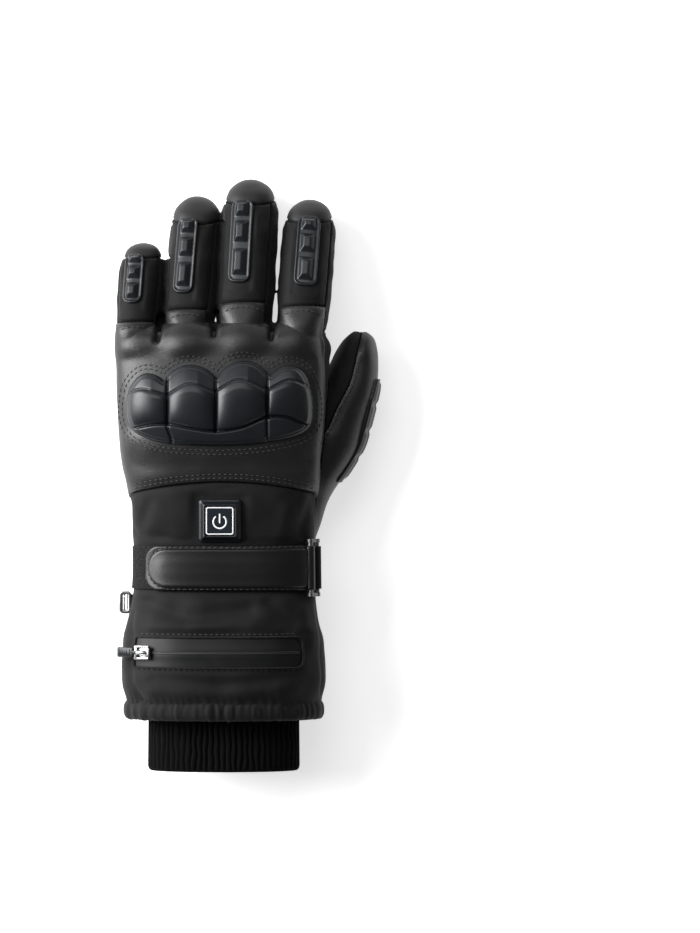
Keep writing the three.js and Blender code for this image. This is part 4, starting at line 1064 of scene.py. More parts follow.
# Palm slider: a fin with an outlined edge, a raised inner fin and a patch of plain hatching
slider = {
    "edge": [(-39, 131.6), (-30, 132), (-2.6, 133.8), (-0.6, 136.5), (-2.6, 148.4), (-12.3, 156.4), (-19, 169),
             (-21.6, 178), (-24.5, 175), (-36.4, 158.6), (-38.6, 146)],
    "fin": [(-32, 135.6), (-31, 135.4), (-8.6, 138.2), (-10.5, 141.5), (-17.6, 147.6), (-20.6, 154), (-22.6, 161),
            (-30.4, 153)],
    "hatchPitch": 1.5, "hatchX": (-23, -21.5), "hatchY": (149, 166), "rise": 2.2, "seat": 0.9,
}
sliderLoop, finLoop = cornersCut(slider["edge"], 2), cornersCut(slider["fin"], 2)


def sliderRise(u, v, edge):
    fin = insideLoop(finLoop, u, v)
    (left, right), (low, high) = slider["hatchX"], slider["hatchY"]
    hatchArea = smooth(edge, 2.6, 3.2) * smooth(-fin, 0.8, 1.3) * smooth(v, low, low + 2)
    hatchArea = hatchArea * (1 - smooth(v, high, high + 2)) * (1 - smooth(u, left, right))
    lines = 0.5 + 0.5 * np.cos(2 * math.pi * (v + 0.6 * u) / slider["hatchPitch"])
    return (slider["rise"] * rounding(edge, 1.4) - 0.5 * ditch(edge - 2.0, 0.4) + 0.9 * smooth(fin, -0.3, 0.9)
            - 0.35 * hatchArea * lines)


addPiece("palm_slider_fin", *plate(
    lambda u, v: insideLoop(sliderLoop, u, v), sliderRise, laidOn(-1, slider["seat"]), (-41, 2, 129, 180), 0.4),
    rubber, "guard_rubber", ["palm_slider"])
print("guards made")

# Power button: a bevelled housing, a glossy cover, and its printed square and power sign
button = {"half": 12.1, "top": 5, "bevel": 3.6, "face": 8.3, "socket": 1.1,
          "square": 7.3, "line": 0.36, "ring": 3.6, "stroke": 0.45, "gap": 36, "bar": (-0.9, 4.5)}
buttonTopZ = float(bodyHeight(np.array([buttonX]), np.array([buttonY]))[0]) + button["top"]


def onButton(u, v, height):
    skinZ = bodyHeight(buttonX + u, buttonY + v)
    return np.stack([buttonX + u, buttonY + v, skinZ + (buttonTopZ - skinZ) * height / button["top"]], -1)


def buttonRise(u, v, edge):
    outer = 1.9 * rounding(edge, 1.1) + (button["top"] - 1.9) * smooth(edge, 0.9, button["bevel"])
    hole = roundBox(u, v, button["face"], button["face"], 1.2)
    return outer - button["socket"] * smooth(hole, -0.25, 0.15)


addPiece("button_housing", *plate(
    lambda u, v: roundBox(u, v, button["half"], button["half"], 2.2), buttonRise, onButton, (-13, 13, -13, 13), 0.4),
    rubber, "guard_rubber", ["button_base"])


def flatAt(level):
    return lambda u, v, height: np.stack([buttonX + u, buttonY + v, np.full(len(u), level) + height], -1)


def powerSign(u, v):
    a, b = u, v + 0.5
    around = np.degrees(np.arctan2(a, b))
    ring = button["stroke"] - np.abs(np.hypot(a, b) - button["ring"])
    opening = (np.abs(around) - button["gap"]) * math.pi / 180 * button["ring"]
    bar = roundBox(a, b - (button["bar"][0] + button["bar"][1]) / 2, button["stroke"],
                   (button["bar"][1] - button["bar"][0]) / 2, 0.5)
    square = button["line"] - np.abs(roundBox(u, v, button["square"], button["square"], 1.0))
    return np.maximum(np.maximum(np.minimum(ring, opening), bar), square)


faceZ = buttonTopZ - 0.25


def coverFinish(place):
    haze = place.noise(240, 3)
    return {"colour": haze.mix((0.004, 0.007, 0.011, 1), (0.009, 0.014, 0.02, 1)), "rough": haze * 0.12 + 0.16,
            "bump": place.noise(700, 2), "strength": 0.06, "deep": 0.0001}


def whiteFinish(place):
    fine = place.noise(1500, 2)
    return {"colour": fine.mix(grey(0.72), grey(0.88)), "rough": 0.45}


cover = finish("buttonCover", coverFinish, specular=0.6, coat=0.4, coatRough=0.12)
whitePrint = finish("whitePrint", whiteFinish)
addPiece("button_cover", *plate(
    lambda u, v: roundBox(u, v, button["face"] - 0.3, button["face"] - 0.3, 1.1),
    lambda u, v, edge: 0.25 * rounding(edge, 0.8) - 0.25, flatAt(faceZ), (-9, 9, -9, 9), 0.5, skirt=1.1),
    cover, "button_print", ["button_face"])
addPiece("button_sign", *plate(powerSign, lambda u, v, edge: 0.12 * rounding(edge, 0.15), flatAt(faceZ),
                               (-9, 9, -9, 9), 0.22, skirt=0.2), whitePrint, "button_print")
print("button made")


# Small solid parts: bevelled blocks and tubes along flat paths
def block(size, centre, bevel=0.3, segments=2):
    part = bmesh.new()
    bmesh.ops.create_cube(part, size=1)
    for w in part.verts:
        w.co = Vector([w.co[k] * size[k] + centre[k] for k in range(3)])
    bmesh.ops.bevel(part, geom=part.edges[:], offset=bevel, segments=segments, profile=0.5, affect="EDGES")
    part.verts.index_update()
    points = np.array([w.co for w in part.verts])
    faces = [tuple(w.index for w in f.verts) for f in part.faces]
    part.free()
    return points, faces


def tube(path, facing, wide, thick=None, closed=False, sides=12, square=2):
    path, facing = np.asarray(path, float), np.asarray(facing, float)
    ahead = np.roll(path, -1, 0) - np.roll(path, 1, 0) if closed else np.gradient(path, axis=0)
    ahead /= np.linalg.norm(ahead, axis=1, keepdims=True)
    side = np.cross(facing[None, :], ahead)
    side /= np.linalg.norm(side, axis=1, keepdims=True)
    turn = np.arange(sides) / sides * 2 * math.pi
    a = wide * roundCos(turn, square)[None, :, None]
    b = (thick or wide) * roundSin(turn, square)[None, :, None]
    rings = path[:, None, :] + side[:, None, :] * a + facing[None, None, :] * b
    return rings.reshape(-1, 3), loftFaces(len(path), sides, closed)


def roundedPath(corners, radius, steps=5):
    corners, path = np.asarray(corners, float), []
    for i, corner in enumerate(corners):
        before, after = corners[i - 1] - corner, corners[(i + 1) % len(corners)] - corner
        a = corner + before / np.linalg.norm(before) * radius
        b = corner + after / np.linalg.norm(after) * radius
        for t in np.linspace(0, 1, steps):
            path.append((1 - t) ** 2 * a + 2 * t * (1 - t) * corner + t ** 2 * b)
    return np.array(path)


def tapeFinish(place):
    loops = place.noise(1500, 4, 0.7)
    tufts = place.cells(1100)
    return {"colour": (loops * 0.6 + tufts * 0.5).step(0.25, 0.8).mix(grey(0.003), grey(0.02)), "rough": 0.95,
            "bump": loops + tufts, "strength": 1.0, "deep": 0.0005}


def zipTapeFinish(place):
    film = place.noise(120, 3)
    fine = place.noise(1600, 2)
    return {"colour": film.mix(grey(0.0025, (0.95, 1, 1.06)), grey(0.007, (0.95, 1, 1.06))),
            "rough": film * 0.16 + 0.4, "bump": film + fine * 0.3, "strength": 0.15, "deep": 0.0002}


def teethFinish(place):
    fine = place.noise(1800, 2)
    return {"colour": fine.mix(grey(0.006), grey(0.012)), "rough": fine * 0.15 + 0.4}


def ringFinish(place):
    wear = place.noise(420, 4).step(0.5, 0.75)
    return {"colour": wear.mix(grey(0.09), grey(0.26)), "rough": wear * 0.1 + 0.34,
            "bump": place.noise(1500, 2), "strength": 0.08, "deep": 0.0001}


def nickelFinish(place):
    brushed = place.scaled((1, 9, 1)).noise(260, 3)
    spots = place.noise(600, 3).step(0.5, 0.8)
    return {"colour": (brushed * 0.5 + spots * 0.5).mix(grey(0.52), grey(0.3)), "rough": brushed * 0.2 + 0.2,
            "bump": brushed, "strength": 0.1, "deep": 0.0001}


def knitFinish(place):
    yarn = place.scaled((1, 1.6, 1)).noise(1500, 3, 0.6)
    broad = place.noise(50, 3)
    return {"colour": (yarn * 0.6 + broad * 0.4).mix(grey(0.001), grey(0.005)), "rough": 0.9,
            "bump": yarn, "strength": 0.8, "deep": 0.0004}


def threadFinish(place):
    twist = place.noise(2600, 2)
    return {"colour": twist.mix(grey(0.007), grey(0.02)), "rough": 0.55, "bump": twist, "strength": 0.4,
            "deep": 0.0001}


# Near-black colour for the seam cords: partly seam thread, partly painted shade in the seam grooves
def seamShadeFinish(place):
    twist = place.noise(2100, 2)
    return {"colour": twist.mix(grey(0.0012), grey(0.003)), "rough": 0.9}


def fleeceFinish(place):
    pile = place.noise(1100, 4, 0.7)
    return {"colour": pile.mix(grey(0.012), grey(0.04)), "rough": 0.95, "bump": pile, "strength": 0.9,
            "deep": 0.0006}


loopTape = finish("loopPile", tapeFinish, specular=0.2)
zipTape = finish("coatedZipTape", zipTapeFinish, specular=0.22)
zipTeeth = finish("zipCoil", teethFinish)
darkRing = finish("darkLacquer", ringFinish, metal=0.7)
nickel = finish("brightNickel", nickelFinish, metal=1.0)
ribKnit = finish("ribbedKnit", knitFinish, sheen=0.01, sheenRough=0.6, specular=0.04)
thread = finish("sewingThread", threadFinish)
seamShadeCord = finish("seamShadeCord", seamShadeFinish, specular=0.1)
fleece = finish("fleeceLining", fleeceFinish, sheen=0.2, specular=0.2)

# Wrist strap: loop tape sewn to the cuff, the strap with its raised tongue, its ring and the ring's anchor
strap = {
    "half": 12.5, "left": -41.2, "tongueLeft": -38.8, "right": 45.2, "tongueHalf": 10.9, "low": 1.9, "base": 1.0,
    "tongue": 1.5, "pad": 0.5, "ringBar": 1.3, "ringSpan": 6.8, "ringExtra": 7.5, "reach": 3.1, "sleeve": 2.7,
    "pastRing": 8, "tonguePastRing": 30,
}
layStrap = wrapper(strapY, 0)
uLeft, uTongue, uRight = (layStrap.place(strap[key]) for key in ("left", "tongueLeft", "right"))


def strapInside(u, v):
    mid, half = (uLeft + uRight + strap["pastRing"]) / 2, (uRight + strap["pastRing"] - uLeft) / 2
    return np.minimum(roundBox(u - mid, v - strapY, half, strap["half"], 9), uRight - u)


def tongueInside(u, v):
    right = uRight + strap["tonguePastRing"]
    mid, half = (uTongue + right) / 2, (right - uTongue) / 2
    return roundBox(u - mid, v - strapY, half, strap["tongueHalf"], strap["tongueHalf"] - 0.2)


def strapRise(u, v, edge):
    tongue = tongueInside(u, v)
    return (strap["low"] + strap["base"] * rounding(edge, 0.9) + strap["tongue"] * rounding(tongue, 1.9)
            + strap["pad"] * smooth(tongue, 1.5, 9) - 0.25 * ditch(tongue + 0.2, 0.35))


def tapeRise(u, v, edge):
    return 1.75 * rounding(edge, 0.7) + 0.12 * np.sin(5.1 * u + 3 * np.sin(4.3 * v)) * smooth(edge, 0, 1)


tapeFrom, tapeTo = layStrap.at(math.pi * 1.07), layStrap.place(38)
addPiece("strap_loop_tape", *plate(
    lambda u, v: roundBox(u - (tapeFrom + tapeTo) / 2, v - strapY, (tapeTo - tapeFrom) / 2,
                          strap["half"] - 0.2, 1.6),
    tapeRise, layStrap, (tapeFrom - 1, tapeTo + 1, strapY - 13.5, strapY + 13.5), 0.7), loopTape, "loop_tape",
    ["strap_backing"])
strapPlate = plate(strapInside, strapRise, layStrap, (uLeft - 1, uRight + 1, strapY - 13.5, strapY + 13.5), 0.6,
                   [tongueInside], 1.2)
squareHere = float(bodySection(strapY)[3])
turnRing = math.acos((strap["right"] / float(bodySection(strapY)[0])) ** (squareHere / 2))
ringLength = 2 * strap["half"] + strap["ringExtra"]
ringFoot = bodySurface(np.array(strapY - ringLength / 2), turnRing, strap["reach"])
ringHead = bodySurface(np.array(strapY + ringLength / 2), turnRing, strap["reach"])
here = bodySurface(np.array(strapY), turnRing, strap["reach"])
beside = bodySurface(np.array(strapY), turnRing - 0.2, strap["reach"])
ringRun = (ringHead - ringFoot) / np.linalg.norm(ringHead - ringFoot)
downhill = (beside - here) * [1, 0, 1]
downhill /= np.linalg.norm(downhill)
strapBar = (ringFoot + ringHead) / 2
anchorBar = strapBar + downhill * strap["ringSpan"]
facing = np.cross(downhill, ringRun)
ringEnd = ringLength / 2 - strap["ringBar"]
ringCorners = [strapBar - ringRun * ringEnd, anchorBar - ringRun * ringEnd,
               anchorBar + ringRun * ringEnd, strapBar + ringRun * ringEnd]
ringTube = tube(roundedPath(ringCorners, 1.7), facing, strap["ringBar"], closed=True, sides=14, square=2.6)
knobs = [tube([c - ringRun * 1.1, c - ringRun * 0.9, c + ringRun * 0.9, c + ringRun * 1.1], facing, 1.62,
              sides=14, square=3) for c in ringCorners]
addPiece("strap_ring_loop", *joinMeshes([ringTube] + knobs), darkRing, "dark_ring", ["strap_ring"])


def sleeve(bar, half, radius):
    steps = np.linspace(-half, half, 25)
    return tube([bar + ringRun * s for s in steps], facing, radius, radius * 0.94, sides=28)


addPiece("wrist_strap_body", *joinMeshes([strapPlate, sleeve(strapBar, strap["half"] - 0.3, strap["sleeve"])]),
         strapLeather, "leather", ["wrist_strap"])
anchorFrom = layStrap.at(turnRing - 0.12)
anchorTo = layStrap.at(-0.3)
anchorPlate = plate(
    lambda u, v: roundBox(u - (anchorFrom + anchorTo) / 2, v - strapY, abs(anchorTo - anchorFrom) / 2,
                          strap["half"] - 0.6, 0.8),
    lambda u, v, edge: 1.2 * rounding(edge, 0.7) + 0.5 + 0.12 * np.cos(2 * math.pi * v / 1.7),
    layStrap, (anchorFrom - 1, anchorTo + 1, strapY - 13, strapY + 13), 0.45)
anchorSleeve = sleeve(anchorBar, strap["half"] - 0.6, strap["sleeve"] - 0.1)
addPiece("ring_anchor_web", *joinMeshes([anchorPlate, anchorSleeve]), softshell, "softshell", ["ring_anchor"])
print("strap made")

# Pocket zip: coated tape in a folded window, a fine coil, a metal slider and a moulded pull
zipPocket = {"left": -47.6, "right": 43.4, "half": 7.8, "lip": 0.6, "coilHalf": 0.75, "pitch": 1.1,
             "sliderAt": -42.6, "pull": (11, 5.6, 1.8)}
layZip = wrapper(zipY, 0)
zipFrom, zipTo = layZip.place(zipPocket["left"]), layZip.place(zipPocket["right"])


def windowInside(u, v):
    corner = 0.8 + 2.6 * smooth(u - (zipFrom + zipTo) / 2, 0, 20)
    return roundBox(u - (zipFrom + zipTo) / 2, v - zipY, (zipTo - zipFrom) / 2, zipPocket["half"], corner)


def windowRise(u, v, edge):
    away = np.abs(v - zipY)
    return 0.5 + 0.4 * np.exp(-(np.maximum(away - 1.2, 0) / 2.6) ** 2) + 0.1 * np.sin(u * 0.21 + 1)


addPiece("pocket_tape", *plate(lambda u, v: windowInside(u, v) + 0.4, windowRise, layZip,
                               (zipFrom - 1, zipTo + 1, zipY - 9, zipY + 9), 0.7),
         zipTape, "zip_tape", ["zip_tape"])
addPiece("pocket_lips", *plate(lambda u, v: zipPocket["lip"] - np.abs(windowInside(u, v) + 0.7),
                               lambda u, v, edge: 0.8 + 0.8 * rounding(edge, 0.6) + 0.05 * np.sin(u * 1.3),
                               layZip, (zipFrom - 3, zipTo + 3, zipY - 11, zipY + 11), 0.45),
         softshell, "softshell")
coilFrom, coilTo = layZip.place(zipPocket["sliderAt"]) + 5, zipTo - 1.6
addPiece("pocket_coil", *plate(
    lambda u, v: roundBox(u - (coilFrom + coilTo) / 2, v - zipY, (coilTo - coilFrom) / 2,
                          zipPocket["coilHalf"], 0.3),
    lambda u, v, edge: (1.0 + 0.35 * rounding(edge, 0.5) - 0.45 * ditch(v - zipY, 0.22)
                        + 0.05 * np.cos(2 * math.pi * u / zipPocket["pitch"])),
    layZip, (coilFrom - 1, coilTo + 1, zipY - 1.6, zipY + 1.6), 0.26), zipTeeth, "zip_teeth", ["zip_coil"])

sliderU = layZip.place(zipPocket["sliderAt"])
sliderBase = layZip(np.array([sliderU]), np.array([zipY]), 1.1)[0]
alongZip = layZip(np.array([sliderU + 3]), np.array([zipY]), 1.1)[0] - layZip(
    np.array([sliderU - 3]), np.array([zipY]), 1.1)[0]
alongZip /= np.linalg.norm(alongZip)
zipUp = np.cross(alongZip, [0, 1, 0])


def onZip(part):
    points, faces = part
    return sliderBase + points @ np.stack([alongZip, [0, 1, 0], zipUp]), faces


bridge = [(a, 0, b) for a, b in (
    (-3.4, 1.8), (-3.2, 3.1), (-2.2, 3.9), (0, 4.2), (2.2, 3.9), (3.2, 3.1), (3.4, 1.8))]
sliderParts = [
    block((10, 7.4, 0.8), (0, 0, 0.5)), *[block((9.6, 1.3, 2.1), (0, a, 1.5), 0.35) for a in (3.2, -3.2)],
    block((2.0, 7.4, 2.2), (-4.1, 0, 1.55), 0.4), block((2.6, 5.6, 2.3), (3.9, 0, 1.6), 0.5),
    *[block((4.2, 1.2, 1.9), (0.4, a, 1.4)) for a in (1.35, -1.35)],
    tube(bridge, (0, 1, 0), 0.62, 0.95, sides=10),
]
addPiece("zip_slider_body", *onZip(joinMeshes(sliderParts)), nickel, "nickel", ["zip_slider"])
pullLong, pullWide, pullThick = zipPocket["pull"]
pullMid = -5.3 - pullLong / 2
pullParts = [
    block((pullLong, pullWide, pullThick), (pullMid, 0, 2.4), 0.8, 3),
    block((pullLong - 3, pullWide - 2, 0.5), (pullMid - 0.4, 0, 3.35), 0.22, 2),
    *[block((0.5, pullWide - 2.6, 0.5), (pullMid - 3.2 + 1.5 * i, 0, 3.6), 0.2, 2) for i in range(4)],
    block((4.2, 2.2, 0.9), (-4.6, 0, 2.7), 0.35, 2),
]
addPiece("zip_pull_tab", *onZip(joinMeshes(pullParts)), rubber, "guard_rubber", ["zip_pull"])
print("zip made")

# Side clip: a webbing tab sewn low on the cuff's side, and a sprung metal hook
clip = {"y": wristY - 0.31 * gauntletLength, "drop": 8, "wide": 7, "tall": 13, "bar": 1.1, "thick": 1.5}
clipHalf, clipMid = float(bodySection(clip["y"])[0]), float(bodySection(clip["y"])[1])
clipX, clipZ = -clipHalf, clipMid - clip["drop"]
hookX = clipX - 1.3 - clip["wide"] / 2
halfWide, halfTall = clip["wide"] / 2 - clip["bar"], clip["tall"] / 2 - clip["bar"]
hookPath = roundedPath([(hookX + a * halfWide, clip["y"] + b * halfTall, clipZ)
                        for a, b in ((-1, -1), (1, -1), (1, 1), (-1, 1))], 1.6)
clipParts = [
    tube(hookPath, (0, 0, 1), clip["bar"], clip["thick"], closed=True, sides=16, square=3.2),
    block((1.5, clip["tall"] - 3, 0.8), (hookX - halfWide - 0.2, clip["y"], clipZ + 1.5), 0.3),
    tube([(hookX - halfWide * 0.2, clip["y"] + s, clipZ + 0.2)
          for s in np.linspace(-halfTall, halfTall - 1, 7)], (0, 0, 1), 0.55, 0.9, sides=10, square=3),
]
addPiece("clip_hook_frame", *joinMeshes(clipParts), nickel, "nickel", ["clip_hook"])
webParts = [block((8, 9, 2.0), (clipX + 1.2, clip["y"], clipZ), 0.6, 3)]
webParts += [block((8.1, 0.5, 2.3), (clipX + 1.2, clip["y"] - 3.6 + 1.2 * i, clipZ), 0.2)
             for i in range(7)]
webParts.append(tube([(clipX - 2.3, clip["y"] + s, clipZ) for s in (-4.4, 4.4)], (0, 0, 1), 1.5, sides=16))
addPiece("clip_webbing_tab", *joinMeshes(webParts), softshell, "softshell", ["clip_webbing"])

# Hem roll with small puckers, ribbed knit cuff and the fleece lining seen through it
hem = {"sides": 520, "ring": 30, "pucker": 0.4, "pitch": 4.9, "round": 300}
turns = evenTurns(hem["sides"], 0.5, hemSquare)
roll = np.arange(hem["ring"]) / hem["ring"] * 2 * math.pi
shareRound = np.arange(hem["sides"]) / hem["sides"]
wave, fineWave = (np.array([noise.noise(Vector((math.cos(a) * spread, math.sin(a) * spread, level)))
                            for a in shareRound * 2 * math.pi]) for spread, level in ((6, 0.4), (17, 2.4)))
puckers = np.cos(2 * math.pi * (shareRound * round(hem["round"] / hem["pitch"]) + 0.9 * wave))
outHalf, tallHalf = (glove["hemBulge"] + glove["wall"]) / 2, (glove["hemHeight"] - 0.3) / 2
topSide = smooth(np.cos(roll), -0.2, 0.9)[:, None]
bulge = hem["pucker"] * topSide * (0.5 * puckers - 0.4)[None, :]
bulge = bulge + 0.7 * fineWave[None, :] * np.sin(roll)[:, None]
out = ((glove["hemBulge"] - glove["wall"]) / 2 + outHalf * roundSin(roll, hemSquare)[:, None]
       + bulge * smooth(np.sin(roll), -0.4, 0.6)[:, None] + 0.35 * wave[None, :])
hemY = hemEndY + glove["hemHeight"] / 2 + tallHalf * roundCos(roll, hemSquare)[:, None]
hemY = hemY + 0.45 * wave[None, :] * topSide
hemY = hemY - 0.35 * (1 - topSide) * puckers[None, :] * (0.4 + fineWave[None, :])
ring = bodySurface(cuffStartY, turns[None, :], out)
ring[..., 1] = hemY
ring[..., 2] = np.maximum(ring[..., 2], 0.02)
addPiece("hem_roll_cloth", ring.reshape(-1, 3), loftFaces(hem["ring"], hem["sides"], True),
         softshell, "softshell", ["hem_roll"])

knit = {"width": 85, "depth": 45, "wall": 2.6, "ribs": 66, "ribDepth": 1.15, "perRib": 10, "seatY": 86.6}
count = knit["ribs"] * knit["perRib"]
turns = evenTurns(count, knit["depth"] / knit["width"], hemSquare)
ys = np.concatenate([[0.15, 0.5, 1.1, 2.0], np.arange(3.2, 34, 1.3), np.linspace(38, knit["seatY"], 14)])
grow = np.interp(ys, [0, 1.2, 2.6, 52, knit["seatY"]], [-1.5, -0.35, 0, -0.5, 0])
phase = np.arange(count) / knit["perRib"]
lean = np.array([noise.noise(Vector((p * 0.23, 0, 0))) for p in phase])
ribStrength = 1 + 0.5 * np.array([noise.noise(Vector((math.floor(p) * 0.71, 3.3, 0))) for p in phase])
sway = 0.35 * np.array([[noise.noise(Vector((p * 0.5, yy / 9, 1))) for p in phase] for yy in ys])
ribs = np.abs(np.sin(math.pi * (phase[None, :] + sway))) ** 0.6 - 1
fade = smooth(ys, 0.4, 2.6) * (1 - smooth(ys, 60, 84)) * 0.85 + 0.12
offset = grow[:, None] + knit["ribDepth"] * ribs * ribStrength[None, :] * fade[:, None] + 0.5 * lean[None, :]


def knitSurface(spread):
    half, deep = knit["width"] / 2 + spread, knit["depth"] / 2 + spread
    x = half * roundCos(turns[None, :], hemSquare)
    z = gauntletDepth * 0.45 + deep * roundSin(turns[None, :], hemSquare)
    return np.stack([x, np.broadcast_to(ys[:, None], x.shape), z], -1)


outer = knitSurface(offset)
seat = bodySurface(knit["seatY"], turns, -glove["wall"] + 0.2)
blend = smooth(ys, 66, knit["seatY"])[:, None, None]
outer = outer * (1 - blend) + np.stack([seat[:, 0][None, :] + 0 * ys[:, None], outer[..., 1],
                                        seat[:, 2][None, :] + 0 * ys[:, None]], -1) * blend
inner = knitSurface(grow[:, None] - knit["wall"] + 0 * offset)[::-1]
rings = np.concatenate([outer, inner[:-1], knitSurface(grow[:, None] - 1.2 + 0 * offset)[:1]])
rings[..., 2] = np.maximum(rings[..., 2], 0.5)
addPiece("rib_knit_cuff", rings.reshape(-1, 3), loftFaces(len(rings), count, True), ribKnit, "rib_knit",
         ["knit_cuff"])

turns = evenTurns(120, bodyFlat, bodySquare)
ys = np.concatenate([[31, 34], np.linspace(40, crotchY + 1, 40)])
liningRings = bodySurface(ys[:, None], turns[None, :], -glove["wall"] + 0.3)
liningFaces = loftFaces(len(ys), 120, caps=False) + [tuple(range((len(ys) - 1) * 120, len(ys) * 120))]
addPiece("inner_lining", liningRings.reshape(-1, 3), liningFaces, fleece, "softshell")
print("cuff made")

# Stitching: short capsules of thread along each sewn row, laid on the skin or on a trim
sewing = {"step": 3.0, "length": 2.2, "radius": 0.31, "lift": 0.12}
stitchParts = []


def capsule(centre, ahead, up):
    ahead, up = np.array(ahead), np.array(up)
    side = np.cross(ahead, up)
    turn = np.arange(6) / 6 * 2 * math.pi
    rings = []
    for place, size in ((-0.5, 0.35), (-0.36, 0.9), (0, 1.05), (0.36, 0.9), (0.5, 0.35)):
        sink = up * (-0.18 * (2 * place) ** 2)
        rings.append([centre + ahead * place * sewing["length"] + sink
                      + (side * math.cos(a) + up * math.sin(a)) * size * sewing["radius"] for a in turn])
    return np.array(rings).reshape(-1, 3), loftFaces(5, 6)


def sewAlong(path):
    path = np.asarray(path, float)
    far = np.concatenate([[0], np.cumsum(np.linalg.norm(np.diff(path, axis=0), axis=1))])
    for s in np.arange(sewing["step"] / 2, far[-1], sewing["step"]):
        at = [np.array([np.interp(s + d, far, path[:, k]) for k in range(3)]) for d in (-0.6, 0, 0.6)]
        yield at[1], (at[2] - at[0]) / max(np.linalg.norm(at[2] - at[0]), 1e-6)


def sewOnSkin(xs, ys, fromBelow=False):
    for at, ahead in sewAlong(np.stack([xs, np.broadcast_to(ys, xs.shape), 0 * xs], -1)):
        start, down = (Vector((at[0], at[1], -5)), Vector((0, 0, 1))) if fromBelow else (
            Vector((at[0], at[1], 90)), Vector((0, 0, -1)))
        hit, normal = skinTree.ray_cast(start, down)[:2]
        if hit is None or hit.z < 0.9:
            continue
        if normal.dot(down) > 0:
            normal = -normal
        ahead = Vector(ahead)
        ahead = (ahead - normal * ahead.dot(normal)).normalized()
        stitchParts.append(capsule(np.array(hit + normal * sewing["lift"]), ahead, normal))


def sewOnTrim(path, lay, height):
    for at, ahead in sewAlong([(a, b, 0) for a, b in path]):
        here, front, side = (lay(np.array([p[0]]), np.array([p[1]]), height)[0] for p in (
            at, at + ahead, at + np.array([-ahead[1], ahead[0], 0])))
        forward = (front - here) / np.linalg.norm(front - here)
        up = np.cross(forward, side - here)
        stitchParts.append(capsule(here, forward, up / np.linalg.norm(up)))


def grown(loop, distance):
    edge = np.roll(loop, -1, 0) - np.roll(loop, 1, 0)
    normal = np.stack([edge[:, 1], -edge[:, 0]], -1) / np.linalg.norm(edge, axis=1)[:, None]
    trial = loop + normal * distance
    if insideLoop(loop, trial[:, 0], trial[:, 1]).mean() > 0:
        trial = loop - normal * distance
    keep = -insideLoop(loop, trial[:, 0], trial[:, 1]) > distance * 0.93
    return trial[keep]


for finger in fingers:
    xs = fingerCentre(finger, crotchY + finger["leather"])[0] + np.linspace(-0.36, 0.36, 12) * finger["width"]
    sewOnSkin(xs, crotchY + finger["leather"] - 2.4 - 0.02 * (xs - xs.mean()) ** 2)
acrossBack, acrossPocket = np.linspace(-50, 50, 60), np.linspace(-46, 42, 50)
acrossGrip = np.linspace(-43, 38, 40)
for inset in (2.3, 4.4):
    sewOnSkin(acrossBack, arcY(acrossBack) + inset)
for distance in (2.4, 4.6):
    loop = grown(guardLoop, distance)
    sewOnSkin(*np.concatenate([loop, loop[:1]]).T)
tongueRun, tongueTurn = np.linspace(0, uRight - uTongue - 12, 40), np.linspace(math.pi / 2, 1.5 * math.pi, 24)
tongueEdge = [(uRight - 1 - s, strapY + strap["tongueHalf"] + 0.75) for s in tongueRun]
tongueEdge += [(uTongue + 11.2 + 11.7 * math.cos(a), strapY + 11.65 * math.sin(a)) for a in tongueTurn]
tongueEdge += [(uTongue + 11.2 + s, strapY - strap["tongueHalf"] - 0.75) for s in tongueRun]
sewOnTrim(tongueEdge, layStrap, strap["low"] + strap["base"] + 0.05)
for side, away in ((-1, 1.6), (1, 2.4)):
    sewOnSkin(acrossPocket, zipY + side * (zipPocket["half"] + away))
seamY = np.linspace(182, 236, 40)
seamMid, seamHalf = thumbSection((seamY - thumbStartY) / thumbLength)[:2]
seamX = (seamMid + seams["thumbSeam"] * seamHalf) * handWidth + 2.4
sewOnSkin(seamX, seamY)
sewOnSkin(seamX, seamY, True)
sewOnSkin(acrossGrip, seams["gripTopLeft"] - 2 + 9.6 * np.clip((acrossGrip + 47) / 75, 0, 1), True)
addPiece("stitching", *joinMeshes(stitchParts), thread, "leather")
print("stitches:", len(stitchParts))

# A near-black cord lies in every seam of the skin, partly the seam's thread and partly painted shade in the seam's
# groove: one short prism for each edge between two panels
cord = {"radius": 0.5, "sides": 5, "overlap": 0.12}
labelsOf = {}
onBorder = border.tolist()
for face, label in zip(skinFaces, skinLabels.tolist()):
    for i, j in zip(face, face[1:] + face[:1]):
        if onBorder[i] and onBorder[j]:
            labelsOf.setdefault((min(i, j), max(i, j)), set()).add(label)
ends = np.array([pair for pair, found in labelsOf.items() if len(found) > 1])
ahead = skinPoints[ends[:, 1]] - skinPoints[ends[:, 0]]
ahead /= np.maximum(np.linalg.norm(ahead, axis=1, keepdims=True), 1e-6)
side = np.cross(ahead, skinNormals[ends].mean(1))
side /= np.maximum(np.linalg.norm(side, axis=1, keepdims=True), 1e-6)
turn = np.arange(cord["sides"]) / cord["sides"] * 2 * math.pi
ringShape = (side[:, None, :] * np.cos(turn)[None, :, None]
             + np.cross(side, ahead)[:, None, :] * np.sin(turn)[None, :, None]) * cord["radius"]
cordPoints = np.stack([(skinPoints[ends[:, k]] + (2 * k - 1) * cord["overlap"] * ahead)[:, None, :] + ringShape
                       for k in (0, 1)], 1)
cordPoints[..., 2] = np.maximum(cordPoints[..., 2], 0.02)
cordFaces = loftFaces(2, cord["sides"])
addPiece("seam_shade_cords", *joinMeshes([(part, cordFaces) for part in cordPoints]), seamShadeCord, "leather")
print("seam cords:", len(ends))


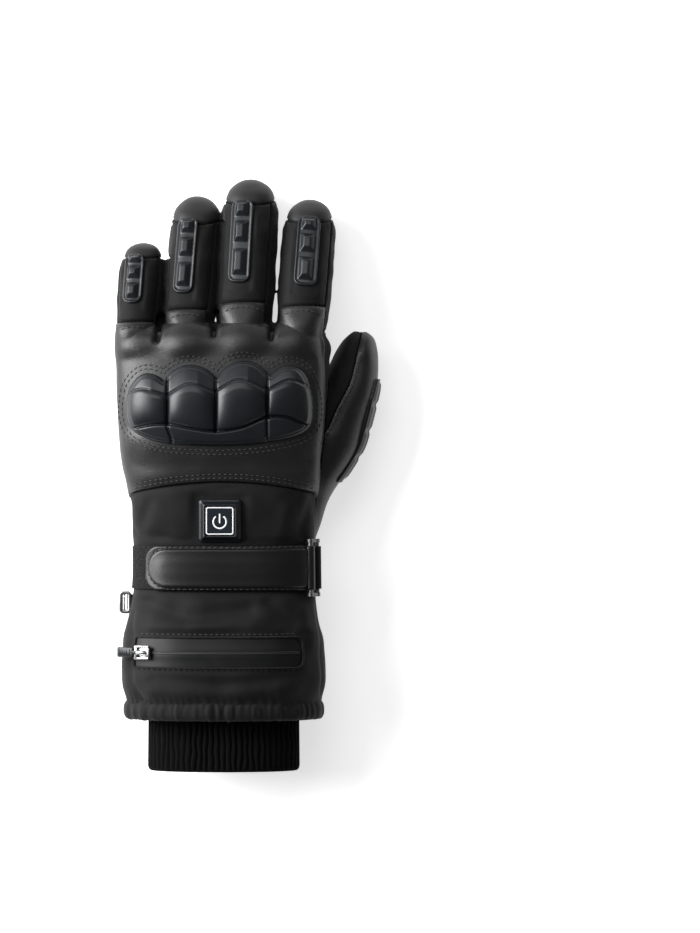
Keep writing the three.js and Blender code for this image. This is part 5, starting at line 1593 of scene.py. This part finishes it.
# Floor, lights and camera: straight above the photograph's middle, which lies right of this glove
studio = {
    "lens": 150, "framePixel": 0.56, "glovePixelX": 223.8, "zeroPixelY": 770, "frame": (700, 933),
    "focusHeight": 30, "world": 0.16, "floorGlow": 0.62, "floorHalf": 3,
}


def areaLight(name, power, size, place, target):
    data = bpy.data.lights.new(name, "AREA")
    data.energy, data.shape, data.size, data.size_y = power, "RECTANGLE", size[0], size[1]
    light = bpy.data.objects.new(name, data)
    bpy.context.scene.collection.objects.link(light)
    light.location = Vector(place)
    light.rotation_euler = (Vector(target) - Vector(place)).to_track_quat("-Z", "Y").to_euler()


def floorFinish(place):
    return {"colour": place.noise(3, 2).mix(grey(0.9), grey(0.92)), "rough": 0.9}


floorMesh = newMesh("studio_floor", [(a * studio["floorHalf"], b * studio["floorHalf"], 0)
                                     for a, b in ((-1, -1), (1, -1), (1, 1), (-1, 1))], [(0, 1, 2, 3)])
floor = bpy.data.objects.new("studio_floor", floorMesh)
bpy.context.scene.collection.objects.link(floor)
floorMesh.materials.append(finish("paleFloor", floorFinish, specular=0.1, glow=studio["floorGlow"]))

areaLight("key", 86, (1.3, 1.3), (-1.6, 0.55, 0.88), (0, 0, 0.02))
areaLight("top", 7, (1.2, 0.5), (-0.2, 1.0, 1.3), (0, 0, 0.02))
world = bpy.data.worlds.new("studio")
bpy.context.scene.world = world
world.use_nodes = True
world.node_tree.nodes["Background"].inputs["Color"].default_value = (1, 1, 1, 1)
world.node_tree.nodes["Background"].inputs["Strength"].default_value = studio["world"]
bpy.context.scene.view_settings.view_transform = "Standard"

width, tall = studio["frame"]
unit = studio["framePixel"] / 1000
camera = bpy.data.objects.new("camera", bpy.data.cameras.new("camera"))
bpy.context.scene.collection.objects.link(camera)
camera.data.lens = studio["lens"]
distance = tall * unit * studio["lens"] / camera.data.sensor_width
camera.location = (shift.x + (width / 2 - studio["glovePixelX"]) * unit,
                   shift.y + (studio["zeroPixelY"] - tall / 2) * unit, distance + studio["focusHeight"] / 1000)
camera.rotation_euler = (0, 0, 0)
bpy.context.scene.camera = camera
print("studio set")
